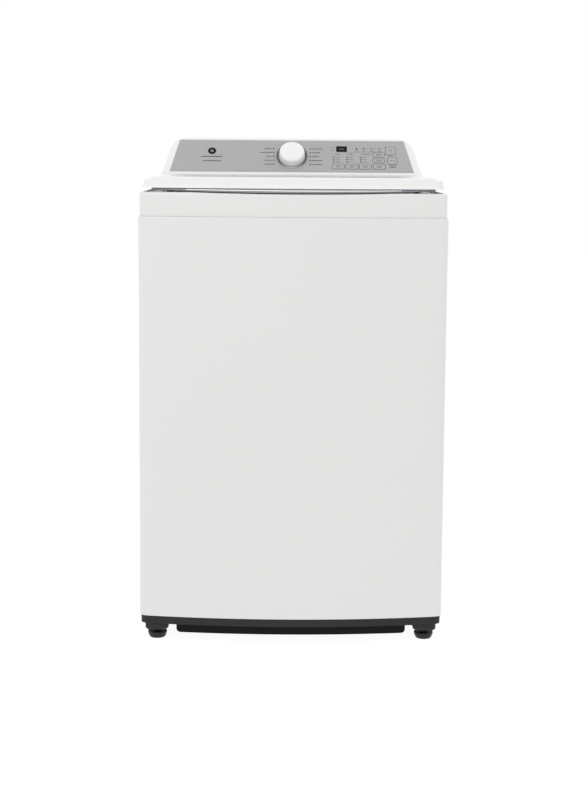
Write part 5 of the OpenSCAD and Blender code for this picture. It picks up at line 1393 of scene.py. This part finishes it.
def buildBasket():
    basket = {"around": 96, "rows": 22, "hole": 0.44, "band": 36 * mm}
    low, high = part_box("basket")
    radius = (high.x - low.x) / 2 - 2 * mm
    bottom, top = low.z + basket["band"], high.z - basket["band"]
    cellWidth = 2 * radius * math.tan(math.pi / basket["around"])
    cellHeight = (top - bottom) / basket["rows"]
    objectMode()
    bpy.ops.object.select_all(action="DESELECT")
    bpy.ops.mesh.primitive_plane_add(size=1, rotation=(math.radians(90), 0, math.radians(90)))
    cell = bpy.context.object
    cell.name = "basketWall"
    cell.scale = (cellWidth, cellHeight, 1)
    cell.location = (radius, 0, bottom + cellHeight / 2)
    bpy.ops.object.transform_apply(location=True, rotation=True, scale=True)
    edit(cell)
    bpy.ops.mesh.select_all(action="SELECT")
    margin = cellWidth * (1 - basket["hole"]) / 2
    inset(margin)
    pick("VERT", lambda v: abs(v.co.y) < cellWidth / 2 - margin / 2)
    bpy.ops.transform.resize(value=(1, 1, cellWidth / cellHeight))
    bpy.ops.mesh.bevel(offset=cellWidth * basket["hole"] * 0.29, segments=1, affect="VERTICES")
    pick("FACE", lambda f: all(abs(v.co.y) < cellWidth / 2 - margin / 2 for v in f.verts))
    bpy.ops.mesh.delete(type="FACE")
    objectMode()
    modify(cell, "ARRAY", count=basket["rows"], use_relative_offset=False, use_constant_offset=True,
           constant_offset_displace=(0, 0, cellHeight), use_merge_vertices=True, merge_threshold=0.00005)
    pivot = bpy.data.objects.new("pivot", None)
    bpy.context.scene.collection.objects.link(pivot)
    pivot.rotation_euler = (0, 0, 2 * math.pi / basket["around"])
    bpy.context.view_layer.update()
    modify(cell, "ARRAY", count=basket["around"], use_relative_offset=False, use_object_offset=True,
           offset_object=pivot, use_merge_vertices=True, use_merge_vertices_cap=True,
           merge_threshold=0.00005)
    bpy.data.objects.remove(pivot)
    place(cell, Matrix.Translation((0, tubAxis.y, 0)))
    edge = radius / math.cos(math.pi / basket["around"])
    rim = lathe("rim", [(edge, top), (edge, top + 8 * mm), (edge + 2.2 * mm, top + 14 * mm),
                        (edge + 2.2 * mm, top + 20 * mm),
                        (edge, top + 26 * mm), (edge, high.z)], basket["around"], (0, tubAxis.y, 0))
    floor = lathe("floor", [(edge, bottom), (edge, low.z + 14 * mm), (edge - 2 * mm, low.z + 8 * mm),
                            (edge - 6 * mm, low.z + 4 * mm),
                            (edge - 14 * mm, low.z + 1.6 * mm), (edge - 60 * mm, low.z + 1.2 * mm),
                            (37 * mm, low.z + 1.2 * mm)], basket["around"], (0, tubAxis.y, 0))
    half = math.pi / basket["around"]
    for part in (rim, floor):
        place(part, aboutTub(half, 0) @ Matrix.Translation((0, -tubAxis.y, 0)))
    piece = join("basket", [cell, rim, floor])
    edit(piece)
    bpy.ops.mesh.select_all(action="SELECT")
    bpy.ops.mesh.remove_doubles(threshold=0.00008)
    bpy.ops.mesh.normals_make_consistent(inside=False)
    objectMode()
    modify(piece, "SOLIDIFY", thickness=0.9 * mm, offset=0)
    finish(piece, "spin_basket", stainless, ["basket"], angle=30)


def buildRings():
    # the balance ring with its welded bosses, and the tub's cover
    low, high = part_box("balance_ring")
    outer = (high.x - low.x) / 2
    inner = outer - 33 * mm
    height = high.z - low.z
    profile = [(inner + 3 * mm, 0), (outer - 1 * mm, 0), (outer, 1.5 * mm), (outer, height - 7 * mm),
               (outer - 2 * mm, height - 2 * mm), (outer - 6 * mm, height),
               (outer - 14 * mm, height - 1 * mm),
               (outer - 18 * mm, height - 2.5 * mm), (inner + 9 * mm, height),
               (inner + 5 * mm, height - 0.8 * mm),
               (inner + 1.5 * mm, height - 4 * mm), (inner, height - 8 * mm), (inner, 6 * mm),
               (inner + 3 * mm, 0)]
    ring = lathe("balanceRing", profile, 96, (0, tubAxis.y, low.z))
    bosses = [ring]
    for index in range(24):
        angle = 2 * math.pi * index / 24
        boss = block("boss", (outer - 17.5 * mm, -4 * mm, height - 5 * mm),
                     (outer - 7 * mm, 4 * mm, height - 0.6 * mm))
        bosses.append(place(boss, aboutTub(angle, low.z)))
    finish(join("balanceRing", bosses), "spin_basket", washPlastic, ["balance_ring"],
           0.8 * mm, 2, 40)
    low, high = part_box("tub_cover")
    outer = (high.x - low.x) / 2
    inner = 222 * mm
    height = high.z - low.z
    profile = [(outer, 0), (outer, 5.5 * mm), (outer - 3 * mm, 8 * mm), (outer - 5 * mm, height - 5 * mm),
               (outer - 8 * mm, height - 1 * mm), (outer - 13 * mm, height), (inner + 6 * mm, height),
               (inner + 2 * mm, height - 1.2 * mm), (inner, height - 4 * mm), (inner, height - 12 * mm),
               (inner + 3 * mm, height - 12 * mm), (inner + 5 * mm, height - 3 * mm),
               (outer - 14 * mm, height - 3 * mm),
               (outer - 8 * mm, 0), (outer, 0)]
    cover = lathe("tubCover", profile, 96, (0, tubAxis.y, low.z))
    ribs = [cover]
    for index in range(36):
        angle = 2 * math.pi * index / 36
        rib = block("rib", (inner + 8 * mm, -1 * mm, height - 0.5 * mm),
                    (outer - 16 * mm, 1 * mm, height + 1.6 * mm))
        ribs.append(place(rib, aboutTub(angle, low.z)))
    finish(join("tubCover", ribs), "tub", tubPlastic, ["tub_cover"], 0.5 * mm, 2, 40)


def buildImpeller():
    low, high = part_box("impeller")
    radius = (high.x - low.x) / 2
    vane = {"count": 6, "width": 13 * mm, "rise": 26 * mm, "swing": 0.35}
    profile = [(0, 0), (radius - 4 * mm, 0), (radius, 3 * mm), (radius, 9 * mm),
               (radius - 1.5 * mm, 11.5 * mm),
               (radius - 4 * mm, 12 * mm)]
    for index in range(1, 12):
        share = index / 12
        profile.append(((radius - 4 * mm) * (1 - share) + 24 * mm * share,
                        (12 - 4.5 * math.sin(math.pi * share) + 24 * share ** 3) * mm))
    profile += [(30 * mm, 40 * mm), (27 * mm, 44 * mm), (20 * mm, 45.6 * mm), (14 * mm, 45.8 * mm),
                (12.5 * mm, 45 * mm),
                (12 * mm, 36 * mm), (8 * mm, 36 * mm), (0, 36 * mm)]
    disc = lathe("impeller", profile, 96, (0, tubAxis.y, low.z))
    parts = [disc]
    for index in range(vane["count"]):
        # a vane bent in plan, swept up and thinned towards its crest
        blade = block("vane", (24 * mm, -vane["width"] / 2, 6 * mm),
                      (radius - 9 * mm, vane["width"] / 2, 8 * mm))
        edit(blade)
        bpy.ops.mesh.select_all(action="SELECT")
        bpy.ops.mesh.subdivide(number_cuts=9)

        def shape(point):
            share = (point.x - 24 * mm) / (radius - 33 * mm)
            upper = point.z > 7.5 * mm
            crest = vane["rise"] * (1 - 0.72 * share ** 1.3)
            side = point.y
            bend = -vane["swing"] * (point.x ** 2) / radius
            flat = 1 - (2 * abs(side) / vane["width"]) ** 2
            lift = crest * max(flat, 0) ** 0.7 if upper else 0
            return (0, bend + side * (0.7 if not upper else -0.1), lift)

        nudge(shape)
        recalc()
        objectMode()
        parts.append(place(blade, aboutTub(2 * math.pi * index / vane["count"], low.z)))
    for index in range(48):
        # small beads in two rows round the disc
        angle = 2 * math.pi * index / 48
        reach = radius - (20 if index % 2 else 34) * mm
        bead = lathe("bead", [(2.6 * mm, 0), (2.2 * mm, 1 * mm), (1.2 * mm, 1.5 * mm), (0, 1.6 * mm)], 10,
                     (reach * math.cos(angle), tubAxis.y + reach * math.sin(angle), low.z + 9 * mm))
        parts.append(bead)
    finish(join("impeller", parts), "drive", washPlastic, ["impeller"], angle=45)
    print("basket, rings and impeller built")


def buildSprings():
    spring = {"wire": 1.8 * mm, "radius": 13.2 * mm, "turns": 6, "perTurn": 18}
    low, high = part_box("suspension_springs")
    bottom, top = low.z + spring["wire"], high.z - spring["wire"]
    xs = (low.x + 15 * mm, high.x - 15 * mm)
    ys = (low.y + 14.6 * mm, high.y - 14.6 * mm)
    springs = []
    for x in xs:
        for y in ys:
            data = bpy.data.curves.new("coil", "CURVE")
            data.dimensions = "3D"
            data.bevel_depth = spring["wire"]
            data.bevel_resolution = 3
            data.use_fill_caps = True
            line = data.splines.new("POLY")
            count = spring["turns"] * spring["perTurn"] + 1
            line.points.add(count - 1)
            for index in range(count):
                share = index / (count - 1)
                angle = 2 * math.pi * spring["turns"] * share
                # the end turns lie flat
                eased = min(max((share - 0.1) / 0.8, 0), 1)
                line.points[index].co = (x + spring["radius"] * math.cos(angle),
                                         y + spring["radius"] * math.sin(angle),
                                         bottom + (top - bottom) * eased, 1)
            coil = bpy.data.objects.new("coil", data)
            bpy.context.scene.collection.objects.link(coil)
            only(coil)
            bpy.ops.object.convert(target="MESH")
            springs.append(bpy.context.object)
    piece = join("suspensionSprings", springs)
    finish(piece, "root", springSteel, ["suspension_springs"], angle=60)
    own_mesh(piece)


def buildPorts():
    # threads on the water ports, with a red and a blue ring, and barbs on the drain spigot
    low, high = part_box("inlet_valve")
    body = block("inletValve", (low.x, low.y + 32 * mm, low.z + 4 * mm),
                 (high.x, low.y + 66 * mm, high.z - 4 * mm))
    flange = block("flange", (low.x + 6 * mm, low.y + 66 * mm, low.z),
                   (high.x - 6 * mm, backY - 1.2 * mm, high.z))
    parts = [body, flange]
    for name in ("cold", "hot"):
        x, z, radius = portPlace(name)
        radius -= 1 * mm
        profile = [(9.8 * mm, -0.006), (radius, -0.006), (radius, 3 * mm)]
        pitch = 2.2 * mm
        for index in range(5):
            start = 4 * mm + index * pitch
            profile += [(radius - 1.1 * mm, start), (radius, start + pitch * 0.4),
                        (radius, start + pitch * 0.6)]
        profile += [(radius - 0.8 * mm, 18 * mm), (9.8 * mm, 18 * mm), (9.8 * mm, -0.006)]
        port = lathe("port", profile, 48)
        parts.append(toBack(port, x, backY, z))
        screen = lathe("screen", [(0, 3 * mm), (9.8 * mm, 3 * mm), (9.8 * mm, 4 * mm), (4 * mm, 4.6 * mm),
                                  (0, 4.8 * mm)], 32)
        parts.append(toBack(screen, x, backY, z))
        coil = rod("coil", (x, low.y, z), (x, low.y + 33 * mm, z), 14 * mm, 40)
        parts.append(coil)
        for step in range(5):
            parts.append(rod("rib", (x, low.y + (4 + 6 * step) * mm, z),
                             (x, low.y + (7 + 6 * step) * mm, z), 14.6 * mm, 40))
    finish(join("inletValve", parts), "root", valvePlastic, ["inlet_valve"], 0.5 * mm, 2,
           40)
    for name, colour in (("cold", (0.02, 0.09, 0.4)), ("hot", (0.42, 0.02, 0.015))):
        x, z, radius = portPlace(name)
        ring = lathe("portRing_" + name, [(radius, 0), (radius + 3.4 * mm, 0), (radius + 3.4 * mm, 1 * mm),
                                          (radius + 2.6 * mm, 1.6 * mm), (radius, 1.6 * mm), (radius, 0)],
                                          48)
        toBack(ring, x, backY + 0.1 * mm, z)
        material = makeGrained("ring_" + name, colour, (0.35, 0.5), 900, 0.00004, 0.08)
        finish(ring, "root", material, angle=30)


def buildHose():
    low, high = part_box("drain_hose")
    x, z = portPlace("drain")[:2]
    hose = {"radius": 15 * mm, "wall": 3.4 * mm, "bend": 26 * mm, "pitch": 6 * mm, "depth": 1.4 * mm}
    lineY = low.y + hose["radius"] + 1.5 * mm
    top = z - hose["bend"]
    # down the straight as one lathe with its corrugations, then the bend as a spun ring, then the spigot
    profile = [(hose["radius"] - hose["wall"], low.z), (hose["radius"] + 1.4 * mm, low.z)]
    at = low.z
    while at < top - hose["pitch"]:
        crest = 1.4 * mm if at < low.z + 44 * mm else 0
        profile += [(hose["radius"] + crest, at + hose["pitch"] * 0.25),
                    (hose["radius"] + crest, at + hose["pitch"] * 0.6),
                    (hose["radius"] - hose["depth"], at + hose["pitch"] * 0.75),
                    (hose["radius"] - hose["depth"], at + hose["pitch"])]
        at += hose["pitch"]
    profile += [(hose["radius"], top), (hose["radius"] - hose["wall"], top),
                (hose["radius"] - hose["wall"], low.z)]
    straight = lathe("drainHose", profile, 32, (x, lineY, 0))
    centre = Vector((x, lineY + hose["bend"], top))
    objectMode()
    bpy.ops.object.select_all(action="DESELECT")
    bpy.ops.mesh.primitive_circle_add(vertices=32, radius=hose["radius"], location=(x, lineY, top))
    bend = bpy.context.object
    bpy.ops.object.transform_apply(location=True, rotation=True, scale=True)
    edit(bend)
    bpy.ops.mesh.select_all(action="SELECT")
    penArc(centre, math.radians(-90), 14, (1, 0, 0))
    recalc()
    objectMode()
    modify(bend, "SOLIDIFY", thickness=2 * mm, offset=-1)
    profile = [(hose["radius"] - hose["wall"], 0), (hose["radius"], 0),
               (hose["radius"], backY - centre.y + 2 * mm)]
    at = backY - centre.y + 3 * mm
    for barb in range(3):
        profile += [(hose["radius"] - 1 * mm, at), (hose["radius"], at + 3.6 * mm),
                    (hose["radius"] - 1 * mm, at + 3.8 * mm)]
        at += 4.4 * mm
    reach = high.y - centre.y
    profile += [(hose["radius"] - 1 * mm, reach - 0.6 * mm), (hose["radius"] - 1.6 * mm, reach),
                (hose["radius"] - hose["wall"], reach), (hose["radius"] - hose["wall"], 0)]
    spigot = lathe("spigot", profile, 32)
    toBack(spigot, x, centre.y, z)
    finish(join("drainHose", [straight, bend, spigot]), "root", hoseRubber, ["drain_hose"],
           angle=30)


def dressCadNodes():
    # parts whose CAD shape is right get their finish
    dress = {
        "fill_spout": whitePlastic, "lid_lock_housing": blackPlastic, "lid_lock_bolt": zincSteel,
        "lid_bumpers": rubber, "lid_hinge_pins": zincSteel, "lid_strike": zincSteel,
        "control_board": boardGreen,
        "cycle_encoder": blackPlastic, "outer_tub": tubPlastic, "mount_bracket": zincSteel,
        "gearcase": castAluminium,
        "shaft_bearings": zincSteel, "tub_seal": rubber, "basket_hub": castAluminium,
        "drive_shaft": zincSteel,
        "drive_pulley": blackPlastic, "motor": motorPaint, "motor_rotor": zincSteel, "drive_belt": rubber,
        "pump_housing": blackPlastic, "pump_rotor": washPlastic, "suspension_rods": zincSteel,
        "power_gland": blackPlastic,
    }
    for name, material in dress.items():
        node = frame["nodes"][name]
        node.data.materials.clear()
        node.data.materials.append(material)


buildCabinet()
buildRearPanel()
buildBase()
buildSkirt()
buildLegs()
buildTopCover()
buildLid()
buildGrip()
consoleSizes = buildConsole()
buildPanel(consoleSizes)
buildKeys()
buildDisplay()
buildPrint()
buildLamps()
buildKnob()
buildBackOfConsole()
buildBasket()
buildRings()
buildImpeller()
buildSprings()
buildPorts()
buildHose()
dressCadNodes()
